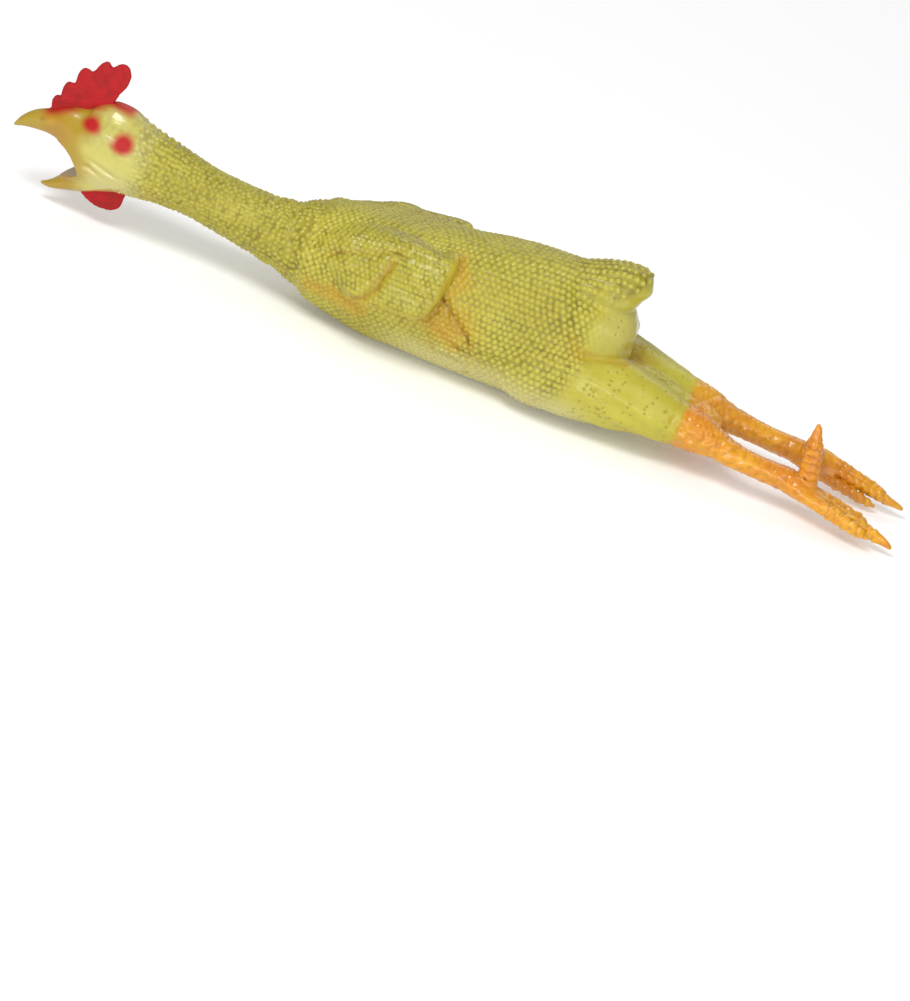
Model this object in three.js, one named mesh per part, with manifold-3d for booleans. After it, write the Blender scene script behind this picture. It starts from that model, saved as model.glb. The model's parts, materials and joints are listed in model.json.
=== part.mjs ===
// A floppy hollow latex rubber chicken, plucked, laid on its belly with its neck and legs stretched out.
// Millimetres. x runs from the beak tip to the toes, +Z is up and the chicken's left side is at -Y.
// The moulding is one soft skin, so it is divided where it bends: firm stretches of skin, and folds
// between them that crumple as the stretches turn. Comb, wattles, wings, tail and toes hang on it.
import * as THREE from "three";
import { mergeVertices } from "three/addons/utils/BufferGeometryUtils.js";
import Module from "manifold-3d";

const wasm = await Module();
wasm.setup();

// Skin and clearances
const WALL = 2; // thickness of the latex
const SEAM = 0.4; // gap between one stretch of skin and the next
const ROOT_GAP = 1.3; // gap under the comb, wattles and wings, which bend there
const JAW_GAP = 2.2; // gap behind the lower beak, which bends there
const BELLY_FLAT = 1.5; // how far the belly is pressed flat by what it rests on

// Lengths along the body, head to toes
const HEAD_LENGTH = 88;
const NECK_LENGTH = 95;
const BODY_LENGTH = 201;
const THIGH_LENGTH = 62; // from the end of the body to the start of the slot between the shanks
const SHANK_LENGTH = 42;
const FOOT_LENGTH = 72;

// Girths, as radii
const HEAD_WIDTH = 18;
const NECK_RADIUS = 15.6;
const BREAST_RADIUS = 37.5;
const BELLY_RADIUS = 43;
const THIGH_RADIUS = 23.8;
const HOCK_RADIUS = 13.2;
const SHANK_RADIUS = 7;

// Places along the body
const NECK_START = HEAD_LENGTH;
const BODY_START = NECK_START + NECK_LENGTH;
const BODY_END = BODY_START + BODY_LENGTH;
const SLOT_START = BODY_END + THIGH_LENGTH;
const ANKLE = SLOT_START + SHANK_LENGTH;
const TOE_TIP = ANKLE + FOOT_LENGTH;
const LEG_SPREAD = 21; // each leg's middle, out from the middle of the chicken
const ANKLE_HEIGHT = 18.7;

// How far each joint bends, in degrees, and so how long its fold is
const bendRoom = (radius, degrees) => radius * Math.sin(THREE.MathUtils.degToRad(degrees)) + 0.8;

const UP = new THREE.Vector3(0, 0, 1);
const ALONG = new THREE.Vector3(1, 0, 0);
const HUGE = 1200;

const LATEX = { color: 0xbfb54e, roughness: 0.42, metalness: 0 };
const BEAK_PAINT = { color: 0xc9a53c, roughness: 0.4, metalness: 0 };
const RED_PAINT = { color: 0xc81e2c, roughness: 0.55, metalness: 0 };
const ORANGE_PAINT = { color: 0xd9832a, roughness: 0.35, metalness: 0 };

// A closed three.js geometry as a manifold-3d solid.
function solidOf(geometry) {
  const bare = geometry.clone();
  for (const name of Object.keys(bare.attributes)) {
    if (name !== "position") bare.deleteAttribute(name);
  }
  const merged = mergeVertices(bare, 1e-4);
  const vertProperties = new Float32Array(merged.attributes.position.array);
  const triVerts = new Uint32Array(merged.index.array);
  return new wasm.Manifold(new wasm.Mesh({ numProp: 3, vertProperties, triVerts }));
}

// A manifold-3d solid as a three.js geometry.
function geometryOf(solid) {
  const { vertProperties, triVerts, numProp } = solid.getMesh();
  const places = new Float32Array((vertProperties.length / numProp) * 3);
  for (let i = 0; i < places.length / 3; i++) {
    places.set(vertProperties.subarray(i * numProp, i * numProp + 3), i * 3);
  }
  const geometry = new THREE.BufferGeometry();
  geometry.setAttribute("position", new THREE.BufferAttribute(places, 3));
  geometry.setIndex(new THREE.BufferAttribute(new Uint32Array(triVerts), 1));
  geometry.computeVertexNormals();
  return geometry;
}

// The largest body of a solid, without the slivers that a cut can leave.
function largest(solid) {
  const bodies = solid.decompose();
  return bodies.reduce((best, body) => (body.volume() > best.volume() ? body : best));
}

const joined = (solids) => solids.reduce((sum, solid) => sum.add(solid));

// A section of a loft: its middle, its half width and its half height above and below the middle.
function section(x, y, z, side, up, down = up) {
  return { at: new THREE.Vector3(x, y, z), size: new THREE.Vector3(side, up, down) };
}

// A closed loft of oval rings through the sections. grow is added to each radius, and reference
// is the direction that counts as up for rings that don't lie across it.
function loft(sections, { grow = 0, sides = 16, steps = 1, reference = UP, from = 0, to = 1 } = {}) {
  const middle = new THREE.CatmullRomCurve3(sections.map((s) => s.at), false, "centripetal");
  const size = new THREE.CatmullRomCurve3(sections.map((s) => s.size), false, "centripetal");
  const rings = (sections.length - 1) * steps;
  const thinnest = 0.4;
  const places = [];
  for (let i = 0; i <= rings; i++) {
    const t = from + ((to - from) * i) / rings;
    const centre = middle.getPoint(t);
    const forward = middle.getTangent(t);
    const sideways = new THREE.Vector3().crossVectors(forward, reference).normalize();
    const upwards = new THREE.Vector3().crossVectors(sideways, forward).normalize();
    const { x: side, y: up, z: down } = size.getPoint(t);
    for (let k = 0; k < sides; k++) {
      const a = (2 * Math.PI * k) / sides;
      const tall = Math.sin(a) > 0 ? up : down;
      const across = Math.cos(a) * Math.max(side + grow, thinnest);
      const high = Math.sin(a) * Math.max(tall + grow, thinnest);
      const place = centre.clone().addScaledVector(sideways, across).addScaledVector(upwards, high);
      places.push(place.x, place.y, place.z);
    }
  }
  for (const t of [from, to]) places.push(...middle.getPoint(t).toArray());
  const startPole = (rings + 1) * sides;
  const endPole = startPole + 1;
  const faces = [];
  for (let k = 0; k < sides; k++) {
    const next = (k + 1) % sides;
    faces.push(startPole, next, k);
    faces.push(endPole, rings * sides + k, rings * sides + next);
    for (let i = 0; i < rings; i++) {
      const here = i * sides;
      const there = here + sides;
      faces.push(here + k, here + next, there + next);
      faces.push(here + k, there + next, there + k);
    }
  }
  const geometry = new THREE.BufferGeometry();
  geometry.setAttribute("position", new THREE.Float32BufferAttribute(places, 3));
  geometry.setIndex(faces);
  const solid = solidOf(geometry);
  return solid.volume() < 0 ? solidOf(flipped(geometry)) : solid;
}

// The same geometry with its faces turned round.
function flipped(geometry) {
  const turned = geometry.clone();
  const index = Array.from(turned.index.array);
  for (let i = 0; i < index.length; i += 3) {
    [index[i + 1], index[i + 2]] = [index[i + 2], index[i + 1]];
  }
  turned.setIndex(index);
  return turned;
}

// Everything on the side of a plane that its normal points to.
function halfSpace(point, normal) {
  const box = new THREE.BoxGeometry(HUGE, HUGE, HUGE);
  const turn = new THREE.Quaternion().setFromUnitVectors(ALONG, normal.clone().normalize());
  box.translate(HUGE / 2, 0, 0);
  box.applyQuaternion(turn);
  box.translate(point.x, point.y, point.z);
  return solidOf(box);
}

// What lies between two places along x.
function slab(low, high) {
  const box = new THREE.BoxGeometry(high - low, HUGE, HUGE);
  box.translate((low + high) / 2, 0, 0);
  return solidOf(box);
}

// A flat shape drawn in x and z, given a thickness across y.
function fin(shape, y, thickness, bevel) {
  const options = { depth: thickness - 2 * bevel, curveSegments: 5, bevelSegments: 2 };
  Object.assign(options, { bevelEnabled: bevel > 0, bevelThickness: bevel, bevelSize: bevel });
  Object.assign(options, { bevelOffset: -bevel });
  const geometry = new THREE.ExtrudeGeometry(shape, options);
  geometry.translate(0, 0, bevel - thickness / 2);
  geometry.rotateX(Math.PI / 2);
  geometry.translate(0, y, 0);
  return solidOf(geometry);
}

// ---- The trunk: neck and body, as one run of oval sections ----

const neckX = (share) => NECK_START + NECK_LENGTH * share;
const bodyX = (share) => BODY_START + BODY_LENGTH * share;
const REST = -BELLY_FLAT; // the belly's height before it is pressed flat

const trunkSections = [
  section(neckX(-0.25), 0, 46.5, 18.2, 22.5, 23),
  section(neckX(0), 0, 44.6, 18, 18.8),
  section(neckX(0.14), 0, 43.2, 17, 17),
  section(neckX(0.3), 0, 41.2, NECK_RADIUS, NECK_RADIUS),
  section(neckX(0.46), 0, 39.2, NECK_RADIUS + 0.4, NECK_RADIUS + 0.4),
  section(neckX(0.62), 0, 37.4, NECK_RADIUS + 1.4, NECK_RADIUS + 1.4),
  section(neckX(0.77), 0, 36.6, NECK_RADIUS + 3, NECK_RADIUS + 3),
  section(neckX(0.92), 0, 36.6, NECK_RADIUS + 6.9, NECK_RADIUS + 6.7),
  section(bodyX(0.04), 0, 37, BREAST_RADIUS - 8, BREAST_RADIUS - 8.6),
  section(bodyX(0.12), 0, 37.2, BREAST_RADIUS - 4, BREAST_RADIUS - 4.6, BREAST_RADIUS - 4),
  section(bodyX(0.22), 0, 37.2, BREAST_RADIUS, BREAST_RADIUS - 2.4, BREAST_RADIUS - 0.6),
  section(bodyX(0.34), 0, 37.6, BREAST_RADIUS + 2, BREAST_RADIUS, BREAST_RADIUS + 0.6),
  section(bodyX(0.46), 0, REST + 40.8, BELLY_RADIUS - 3, BELLY_RADIUS - 3.2, 40.8),
  section(bodyX(0.58), 0, REST + 42.6, BELLY_RADIUS - 2.4, BELLY_RADIUS - 1, 42.6),
  section(bodyX(0.7), 0, REST + 44, BELLY_RADIUS - 4, BELLY_RADIUS + 0.6, 44),
  section(bodyX(0.8), 0, REST + 46, BELLY_RADIUS - 7, BELLY_RADIUS - 0.4, 45),
  section(bodyX(0.885), 0, 51, BELLY_RADIUS - 14, BELLY_RADIUS - 9, 42),
  section(bodyX(0.945), 0, 55, BELLY_RADIUS - 22, BELLY_RADIUS - 20, 32),
  section(bodyX(0.985), 0, 56, 10, 11, 14),
];

// ---- The legs, from inside the belly to the ankle ----

const LEG_START = bodyX(0.6);
const legSections = (side) => {
  const thighX = (share) => LEG_START + (SLOT_START - LEG_START) * share;
  const shankX = (share) => SLOT_START + SHANK_LENGTH * share;
  const leg = (x, spread, z, radius) => section(x, side * spread, z, radius, radius);
  return [
    leg(thighX(0), LEG_SPREAD - 3, 29, 10),
    leg(thighX(0.11), LEG_SPREAD - 2, 28, THIGH_RADIUS - 3.2),
    leg(thighX(0.26), LEG_SPREAD - 1.6, 27.4, THIGH_RADIUS),
    leg(thighX(0.42), LEG_SPREAD - 2, 27.6, THIGH_RADIUS - 1.4),
    leg(thighX(0.57), LEG_SPREAD - 2.6, 27.6, THIGH_RADIUS - 4),
    leg(thighX(0.71), LEG_SPREAD - 3, 26.6, HOCK_RADIUS + 3.2),
    leg(thighX(0.82), LEG_SPREAD - 3, 25.2, HOCK_RADIUS),
    leg(thighX(0.91), LEG_SPREAD - 2.4, 23.8, HOCK_RADIUS),
    leg(thighX(1), LEG_SPREAD - 1, 22.3, HOCK_RADIUS - 3.6),
    leg(shankX(0.14), LEG_SPREAD + 0.8, 21.1, SHANK_RADIUS + 0.8),
    leg(shankX(0.4), LEG_SPREAD + 1.2, 19.9, SHANK_RADIUS),
    leg(shankX(0.7), LEG_SPREAD + 0.9, 19.1, SHANK_RADIUS - 0.2),
    leg(shankX(1.08), LEG_SPREAD + 0.6, ANKLE_HEIGHT, SHANK_RADIUS + 0.2),
  ];
};

// The skin that joins the two hocks, up to the slot between the shanks.
const webSections = [
  section(SLOT_START - 42, 0, 26.4, 14, 9, 9),
  section(SLOT_START - 20, 0, 24.6, 14, 5.5, 5.5),
  section(SLOT_START - 1, 0, 22.6, 14, 3, 3),
];

// ---- The head ----

const headX = (share) => HEAD_LENGTH * share;
const skullSections = [
  section(headX(0.2), 0, 48, 5.5, 6.5, 8),
  section(headX(0.32), 0, 49.5, 9.5, 11, 16),
  section(headX(0.43), 0, 47, HEAD_WIDTH - 5, 21.5, 28),
  section(headX(0.57), 0, 46, HEAD_WIDTH - 2, 28.6, 29.6),
  section(headX(0.7), 0, 46.3, HEAD_WIDTH - 0.5, 27.4, 27.6),
  section(headX(0.85), 0, 45.5, HEAD_WIDTH, 22, 22.4),
  section(headX(1.06), 0, 44.2, HEAD_WIDTH, 18.2, 18.2),
];
const upperBeakSections = [
  section(headX(0.008), 0, 37.4, 1, 1.2),
  section(headX(0.06), 0, 41.8, 2.8, 3.2, 4),
  section(headX(0.13), 0, 45.4, 4.8, 5.6, 7),
  section(headX(0.21), 0, 48, 6.4, 6.8, 9),
  section(headX(0.32), 0, 50, 8.6, 9.6, 11),
];
const lowerBeakSections = [
  section(headX(0.302), 0, 9.6, 0.9, 0.9),
  section(headX(0.37), 0, 11.2, 3.4, 2.6),
  section(headX(0.46), 0, 15.4, 6.2, 5.6, 4.4),
  section(headX(0.56), 0, 20.6, 9.6, 7, 6.4),
  section(headX(0.66), 0, 27, 12, 8, 8),
];

// The open mouth, as a profile cut right across the head.
const MOUTH = { x: headX(0.29), z: 24, radius: 17.7 };
const MOUTH_CORNER = { x: headX(0.525), z: 26.4 };
function mouthShape() {
  const shape = new THREE.Shape();
  shape.moveTo(MOUTH_CORNER.x, MOUTH_CORNER.z);
  shape.quadraticCurveTo(MOUTH.x + 17.5, 32, MOUTH.x + 11.5, MOUTH.z + 13.4);
  shape.absarc(MOUTH.x, MOUTH.z, MOUTH.radius, 0.86, Math.PI / 2, false);
  shape.quadraticCurveTo(headX(0.1), MOUTH.z + 18, headX(-0.02), 34.6);
  shape.lineTo(headX(-0.2), 34);
  shape.lineTo(headX(-0.2), 14);
  shape.lineTo(headX(0.25), 8);
  shape.closePath();
  return shape;
}

// Five rounded lobes, each from one notch to the next through the control point of a curve.
function combShape() {
  const lobes = [
    { tip: [0.15, 64.5], notch: [0.23, 64.4] },
    { tip: [0.2, 78], notch: [0.285, 75] },
    { tip: [0.275, 91.4], notch: [0.365, 85.4] },
    { tip: [0.43, 103.6], notch: [0.48, 91.4] },
    { tip: [0.6, 101.6], notch: [0.595, 83] },
  ];
  const shape = new THREE.Shape();
  shape.moveTo(headX(0.195), 52);
  shape.lineTo(headX(0.195), 58);
  for (const { tip, notch } of lobes) {
    shape.quadraticCurveTo(headX(tip[0]), tip[1], headX(notch[0]), notch[1]);
  }
  shape.lineTo(headX(0.58), 70);
  shape.lineTo(headX(0.4), 60);
  shape.closePath();
  return shape;
}

function wattleShape() {
  const shape = new THREE.Shape();
  shape.moveTo(headX(0.565), 24);
  shape.lineTo(headX(0.565), 16.5);
  shape.quadraticCurveTo(headX(0.63), 11, headX(0.74), 11.2);
  shape.quadraticCurveTo(headX(0.84), 11.4, headX(0.85), 17);
  shape.lineTo(headX(0.86), 28);
  shape.closePath();
  return shape;
}

// The skull, both beaks and the mouth between them, grown by the given amount.
function headSolid(grow) {
  const skull = loft(skullSections, { grow, sides: 20, steps: 2 });
  const upper = loft(upperBeakSections, { grow, sides: 12 });
  const lower = loft(lowerBeakSections, { grow, sides: 12 });
  const whole = joined([skull, upper, lower]);
  return grow > 0 ? whole : whole.subtract(fin(mouthShape(), 0, 80, 0));
}

// ---- Joints along the trunk, from the head back ----

const neckJoint = (share, radius, degrees) => {
  const room = bendRoom(radius, degrees);
  return { x: neckX(share), room };
};
const TRUNK_JOINTS = [
  neckJoint(0.07, 18.2, 20),
  neckJoint(0.3, NECK_RADIUS, 22),
  neckJoint(0.52, NECK_RADIUS + 0.8, 22),
  neckJoint(0.74, NECK_RADIUS + 2.7, 20),
  neckJoint(0.97, NECK_RADIUS + 9.4, 18),
];
const WAIST = { x: bodyX(0.55), room: bendRoom(BELLY_RADIUS, 12) };
const HIP_POINT = new THREE.Vector3(bodyX(0.91), 0, 28);
const HIP_DIRECTION = new THREE.Vector3(0.848, 0, -0.53);
const HIP_ROOM = bendRoom(35, 24);
const LEG_JOINTS = {
  hock: { x: SLOT_START + 4.5, room: bendRoom(HOCK_RADIUS - 3.8, 38) },
  ankle: { x: ANKLE, room: bendRoom(SHANK_RADIUS, 32) + 0.6 },
};

// ---- The hollow skin, before it is divided ----

const LEFT = -1;
const RIGHT = 1;
const SIDES = [
  { name: "left", side: LEFT, roll: 0 },
  { name: "right", side: RIGHT, roll: THREE.MathUtils.degToRad(50) }, // this foot lies rolled inwards
];

const trunkOuter = loft(trunkSections, { sides: 24 });
const legsOuter = SIDES.map(({ side }) => loft(legSections(side), { sides: 14 }));
const web = loft(webSections, { sides: 12 });
const trunkInner = loft(trunkSections, { grow: -WALL, sides: 24, to: 0.985 });
const legsInner = SIDES.map(({ side }) => loft(legSections(side), { grow: -WALL, sides: 14, from: 0.04 }));
const skullInner = loft(skullSections, { grow: -WALL, sides: 20, from: 0.52 });
const aboveFloor = halfSpace(new THREE.Vector3(0, 0, 0), UP);

const outer = joined([headSolid(0), trunkOuter, web, ...legsOuter]);
const inner = joined([skullInner, trunkInner, ...legsInner]);
const floorLining = halfSpace(new THREE.Vector3(0, 0, WALL), UP);
const skin = outer.subtract(inner.intersect(floorLining)).intersect(aboveFloor);

// ---- Pieces that hang on the skin ----

const headClear = headSolid(ROOT_GAP);
const bodyClear = loft(trunkSections, { grow: ROOT_GAP, sides: 24 });

// A wing folded against the flank, from the shoulder to the free end.
const WING_RISE = 24; // degrees round from the side of the body towards the back
function wingSections(side) {
  const rise = THREE.MathUtils.degToRad(WING_RISE);
  const place = (share, out, lift, tall, thick) => {
    const radius = BREAST_RADIUS - 1 + out;
    const y = side * (radius * Math.cos(rise) - lift * Math.sin(rise));
    const z = 37.5 + radius * Math.sin(rise) + lift * Math.cos(rise);
    return section(bodyX(share), y, z, thick, tall);
  };
  return [
    place(0.05, -9, -2, 7, 3),
    place(0.12, -3, -2, 14, 7),
    place(0.2, 0, -1, 18.5, 8.4),
    place(0.29, 0.5, 0, 20, 8.6),
    place(0.37, 1, 1, 20.5, 8.6),
    place(0.44, 1, 2.5, 18, 7.6),
    place(0.475, 1, 3.5, 11, 4.5),
  ];
}
function wing(side) {
  const rise = THREE.MathUtils.degToRad(WING_RISE);
  const lean = new THREE.Vector3(0, -side * Math.sin(rise), Math.cos(rise));
  const whole = loft(wingSections(side), { reference: lean, sides: 18 });
  return largest(whole.subtract(bodyClear));
}

// The tail stump, which points up and back.
const TAIL_ROOT = new THREE.Vector3(bodyX(0.83), 0, 82);
const TAIL_DIRECTION = new THREE.Vector3(0.76, 0, 0.65).normalize();
const TAIL_LENGTH = 28.5;
const TAIL_FOLD = 17; // distance from the root to where the stump bends
const tailAt = (share) => TAIL_ROOT.clone().addScaledVector(TAIL_DIRECTION, TAIL_LENGTH * share);
function tailSolid() {
  const ring = (share, side, up, down) => {
    const { x, y, z } = tailAt(share);
    return section(x, y, z, side, up, down);
  };
  return loft([ring(0, 20, 12, 14), ring(0.5, 16, 10.5, 12), ring(0.85, 11, 8, 9.5), ring(1, 5, 4, 5)]);
}

// A foot's own directions: along the leg, outwards and upwards, turned inwards by its roll.
function footFrame({ side, roll }) {
  const outwards = new THREE.Vector3(0, side * Math.cos(roll), Math.sin(roll));
  const upwards = new THREE.Vector3(0, -side * Math.sin(roll), Math.cos(roll));
  const ankle = new THREE.Vector3(ANKLE, side * (LEG_SPREAD + 0.6), ANKLE_HEIGHT);
  const drift = new THREE.Vector3(0, side * 0.087, -0.173); // the foot slopes out and down
  const at = (along, out, up) => {
    const place = ankle.clone().addScaledVector(ALONG, along).addScaledVector(drift, along);
    return place.addScaledVector(outwards, out).addScaledVector(upwards, up);
  };
  const ring = (along, out, up, wide, high) => {
    const { x, y, z } = at(along, out, up);
    return section(x, y, z, wide, high);
  };
  return { at, ring, upwards };
}

const TOE_ROOT = 26; // where the toes bend, behind the ankle
const PALM_END = TOE_ROOT - 1.6;
function palm(frame, grow = 0) {
  const rings = [
    frame.ring(0, 0, 0, SHANK_RADIUS + 0.2, SHANK_RADIUS),
    frame.ring(10, 0, 0.4, SHANK_RADIUS + 1.4, SHANK_RADIUS),
    frame.ring(18, 0, 0, SHANK_RADIUS + 2.4, SHANK_RADIUS - 1),
    frame.ring(PALM_END, 0, 0, SHANK_RADIUS + 1.6, SHANK_RADIUS - 2.2),
  ];
  const behindAnkle = slab(ANKLE + LEG_JOINTS.ankle.room / 2 + SEAM / 2, HUGE);
  return loft(rings, { grow, sides: 16, steps: 2, reference: frame.upwards }).intersect(behindAnkle);
}

// Each front toe: how far its tip is behind the ankle and out to the side, and its root's place.
const FRONT_TOES = {
  inner: { reach: FOOT_LENGTH - 16, root: -6, tip: -7.4 },
  middle: { reach: FOOT_LENGTH, root: 0, tip: 0 },
  outer: { reach: FOOT_LENGTH - 16, root: 6, tip: 7.4 },
};
function toe(frame, { reach, root, tip }) {
  const start = TOE_ROOT + 1.4;
  const share = (s) => start + (reach - start) * s;
  const out = (s) => root + (tip - root) * s;
  const rings = [
    frame.ring(share(0), out(0), 0, 2.5, 4.6),
    frame.ring(share(0.35), out(0.35), 0.3, 2.7, 4.4),
    frame.ring(share(0.7), out(0.7), 0, 2.5, 3.6),
    frame.ring(share(0.9), out(0.9), -0.4, 1.7, 2.2),
    frame.ring(share(1), out(1), -0.8, 0.7, 0.8),
  ];
  return loft(rings, { sides: 10, reference: frame.upwards }).intersect(aboveFloor);
}

// The back toe stands up from the foot and leans towards the head.
const BACK_TOE = { along: 14, lean: 7.3, rise: 41 };
const BACK_TOE_START = SHANK_RADIUS + 4; // height of its root over the middle of the foot
function backToe(frame) {
  const spot = (share) => frame.at(BACK_TOE.along - BACK_TOE.lean * share, 0, BACK_TOE.rise * share);
  const low = BACK_TOE_START / BACK_TOE.rise;
  const ring = (share, wide, long) => {
    const { x, y, z } = spot(share);
    return section(x, y, z, wide, long);
  };
  const rings = [ring(low, 4.4, 6.6), ring(0.5, 3.6, 4.6), ring(0.8, 2.4, 3), ring(1, 0.8, 1)];
  return loft(rings, { sides: 12, reference: ALONG });
}

// ---- The scene graph ----

const chicken = new THREE.Group();

function place(name, solid, paint) {
  const mesh = new THREE.Mesh(geometryOf(largest(solid)), new THREE.MeshStandardMaterial(paint));
  mesh.name = name;
  chicken.add(mesh);
}

// Cuts a run of solid at its joints. Each joint gives a stretch before it and the fold at it.
function divide(solid, start, joints, end, stretchNames, foldNames, paint) {
  let low = start;
  joints.forEach(({ x, room }, i) => {
    place(stretchNames[i], solid.intersect(slab(low, x - room / 2 - SEAM / 2)), paint);
    place(foldNames[i], solid.intersect(slab(x - room / 2 + SEAM / 2, x + room / 2 - SEAM / 2)), paint);
    low = x + room / 2 + SEAM / 2;
  });
  return low < end ? solid.intersect(slab(low, end)) : null;
}

const BEAK_BASE = headX(0.44);
const hipBefore = HIP_POINT.clone().addScaledVector(HIP_DIRECTION, -HIP_ROOM / 2);
const hipAfter = HIP_POINT.clone().addScaledVector(HIP_DIRECTION, HIP_ROOM / 2);
const seamStep = (point, gap) => point.clone().addScaledVector(HIP_DIRECTION, gap);
const backwards = HIP_DIRECTION.clone().negate();
const beforeHip = halfSpace(seamStep(hipBefore, -SEAM / 2), backwards);
const behindHip = halfSpace(seamStep(hipAfter, SEAM / 2), HIP_DIRECTION);
const atHip = halfSpace(seamStep(hipBefore, SEAM / 2), HIP_DIRECTION)
  .intersect(halfSpace(seamStep(hipAfter, -SEAM / 2), backwards));

// The trunk in front of the hip, divided from the head back.
const front = skin.intersect(beforeHip);
const headPart = front.intersect(slab(-HUGE / 4, TRUNK_JOINTS[0].x - TRUNK_JOINTS[0].room / 2 - SEAM / 2));
const mouthLine = halfSpace(new THREE.Vector3(0, 0, MOUTH_CORNER.z), UP);
const beforeMouth = slab(-HUGE / 4, MOUTH_CORNER.x - SEAM);
const belowMouth = beforeMouth.subtract(mouthLine);
const beak = slab(-HUGE / 4, BEAK_BASE - SEAM).intersect(mouthLine);
place("upper_beak", headPart.intersect(beak), BEAK_PAINT);
place("lower_beak", headPart.intersect(belowMouth), BEAK_PAINT);
const jawRoom = slab(-HUGE / 4, MOUTH_CORNER.x - SEAM + JAW_GAP).subtract(mouthLine);
const headRest = headPart.subtract(slab(-HUGE / 4, BEAK_BASE)).subtract(jawRoom);

const neckNames = ["neck_4", "neck_3", "neck_2", "neck_1"];
const neckFolds = neckNames.concat("breast").map((_, i) => "neck_fold_" + (5 - i));
const headless = front.subtract(slab(-HUGE / 4, TRUNK_JOINTS[0].x - TRUNK_JOINTS[0].room / 2 + SEAM / 2));
place("head_skin", headRest, LATEX);
const [nod, ...otherJoints] = TRUNK_JOINTS;
place(neckFolds[0], headless.intersect(slab(-HUGE / 4, nod.x + nod.room / 2 - SEAM / 2)), LATEX);
const stretches = [...neckNames, "breast"];
const folds = [...neckFolds.slice(1), "waist_fold"];
const joints = [...otherJoints, WAIST];
const abdomenStart = nod.x + nod.room / 2 + SEAM / 2;
const behindWaist = divide(front, abdomenStart, joints, BODY_END + 60, stretches, folds, LATEX);
place("abdomen", behindWaist, LATEX);
place("hip_fold", skin.intersect(atHip), LATEX);

// Tail
const stump = tailSolid().intersect(halfSpace(tailAt(0.2), TAIL_DIRECTION)).subtract(bodyClear);
const tailBend = TAIL_ROOT.clone().addScaledVector(TAIL_DIRECTION, TAIL_FOLD);
place("tail", stump.intersect(halfSpace(tailBend, TAIL_DIRECTION)), LATEX);
const tailBase = tailBend.clone().addScaledVector(TAIL_DIRECTION, -SEAM);
place("tail_fold", stump.intersect(halfSpace(tailBase, TAIL_DIRECTION.clone().negate())), LATEX);

// Comb and wattles
place("comb", fin(combShape(), 0, 4, 0.8).subtract(headClear), RED_PAINT);
const rear = skin.intersect(behindHip);
for (const foot of SIDES) {
  const { name, side } = foot;
  place("wattle_" + name, fin(wattleShape(), side * 5, 3.6, 0.8).subtract(headClear), RED_PAINT);
  place("wing_" + name, wing(side), LATEX);

  // Leg
  const { hock, ankle } = LEG_JOINTS;
  const half = rear.intersect(halfSpace(new THREE.Vector3(0, side * (SEAM / 2), 0), new THREE.Vector3(0, side, 0)));
  const stretch = ["thigh_" + name, "shank_" + name];
  const fold = ["hock_fold_" + name, "ankle_fold_" + name];
  divide(half, 0, [hock, ankle], 0, stretch, fold, ORANGE_PAINT);

  // Foot
  const frame = footFrame(foot);
  place("foot_" + name, palm(frame), ORANGE_PAINT);
  for (const [toeName, size] of Object.entries(FRONT_TOES)) {
    place("toe_" + toeName + "_" + name, toe(frame, size), ORANGE_PAINT);
  }
  place("toe_back_" + name, backToe(frame), ORANGE_PAINT);
}

// The origin is under the middle of the chicken, on what it rests on.
const extent = new THREE.Box3().setFromObject(chicken);
chicken.position.set(-(extent.min.x + extent.max.x) / 2, 0, -extent.min.z);

export default chicken;
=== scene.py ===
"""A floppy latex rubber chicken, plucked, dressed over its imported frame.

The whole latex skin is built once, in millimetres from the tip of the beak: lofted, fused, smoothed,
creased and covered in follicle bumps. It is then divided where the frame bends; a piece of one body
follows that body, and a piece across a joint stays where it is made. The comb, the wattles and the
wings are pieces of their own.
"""
import json
import logging
import math
from collections.abc import Sequence
from dataclasses import dataclass, field
from enum import Enum

import bmesh
import bpy
import numpy as np
from mathutils import Matrix, Vector
from mathutils.bvhtree import BVHTree


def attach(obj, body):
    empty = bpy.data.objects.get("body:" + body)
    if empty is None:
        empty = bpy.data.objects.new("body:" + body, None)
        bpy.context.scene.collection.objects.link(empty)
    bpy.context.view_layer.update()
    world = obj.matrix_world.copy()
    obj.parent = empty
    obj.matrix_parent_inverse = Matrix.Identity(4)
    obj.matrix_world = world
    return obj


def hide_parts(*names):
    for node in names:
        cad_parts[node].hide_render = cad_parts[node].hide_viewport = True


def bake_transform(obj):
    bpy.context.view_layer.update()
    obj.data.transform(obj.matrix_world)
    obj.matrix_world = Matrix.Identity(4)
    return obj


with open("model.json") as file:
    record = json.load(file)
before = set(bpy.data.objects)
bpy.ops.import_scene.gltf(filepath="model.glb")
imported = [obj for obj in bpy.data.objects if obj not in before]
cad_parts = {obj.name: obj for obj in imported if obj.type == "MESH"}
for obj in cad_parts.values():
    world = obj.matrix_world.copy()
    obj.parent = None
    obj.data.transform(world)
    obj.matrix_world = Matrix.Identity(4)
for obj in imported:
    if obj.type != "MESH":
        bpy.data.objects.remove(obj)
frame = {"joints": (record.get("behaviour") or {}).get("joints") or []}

LOG = logging.getLogger("rubber_chicken")

Array = np.ndarray
Colour = tuple[int, int, int]
Place = tuple[float, float, float]
Line = tuple[Place, ...]
Rows = tuple[tuple[float, ...], ...]

MM = 0.001
FAR_OUT = 90.0  # Well outside the body, in millimetres from its axis.
RING_COLUMNS = 6  # A ring's x, y and z, half width, half height above and half height below.
CORNERS = 4  # Every face of a finished skin is a quad.
MASKS = ("beak", "leg", "red", "stain_and_shade", "dark", "bump", "pluck", "glaze")


# ---------------------------------------------------------------------------------------------
# Numbers and shapes
# ---------------------------------------------------------------------------------------------

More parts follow.
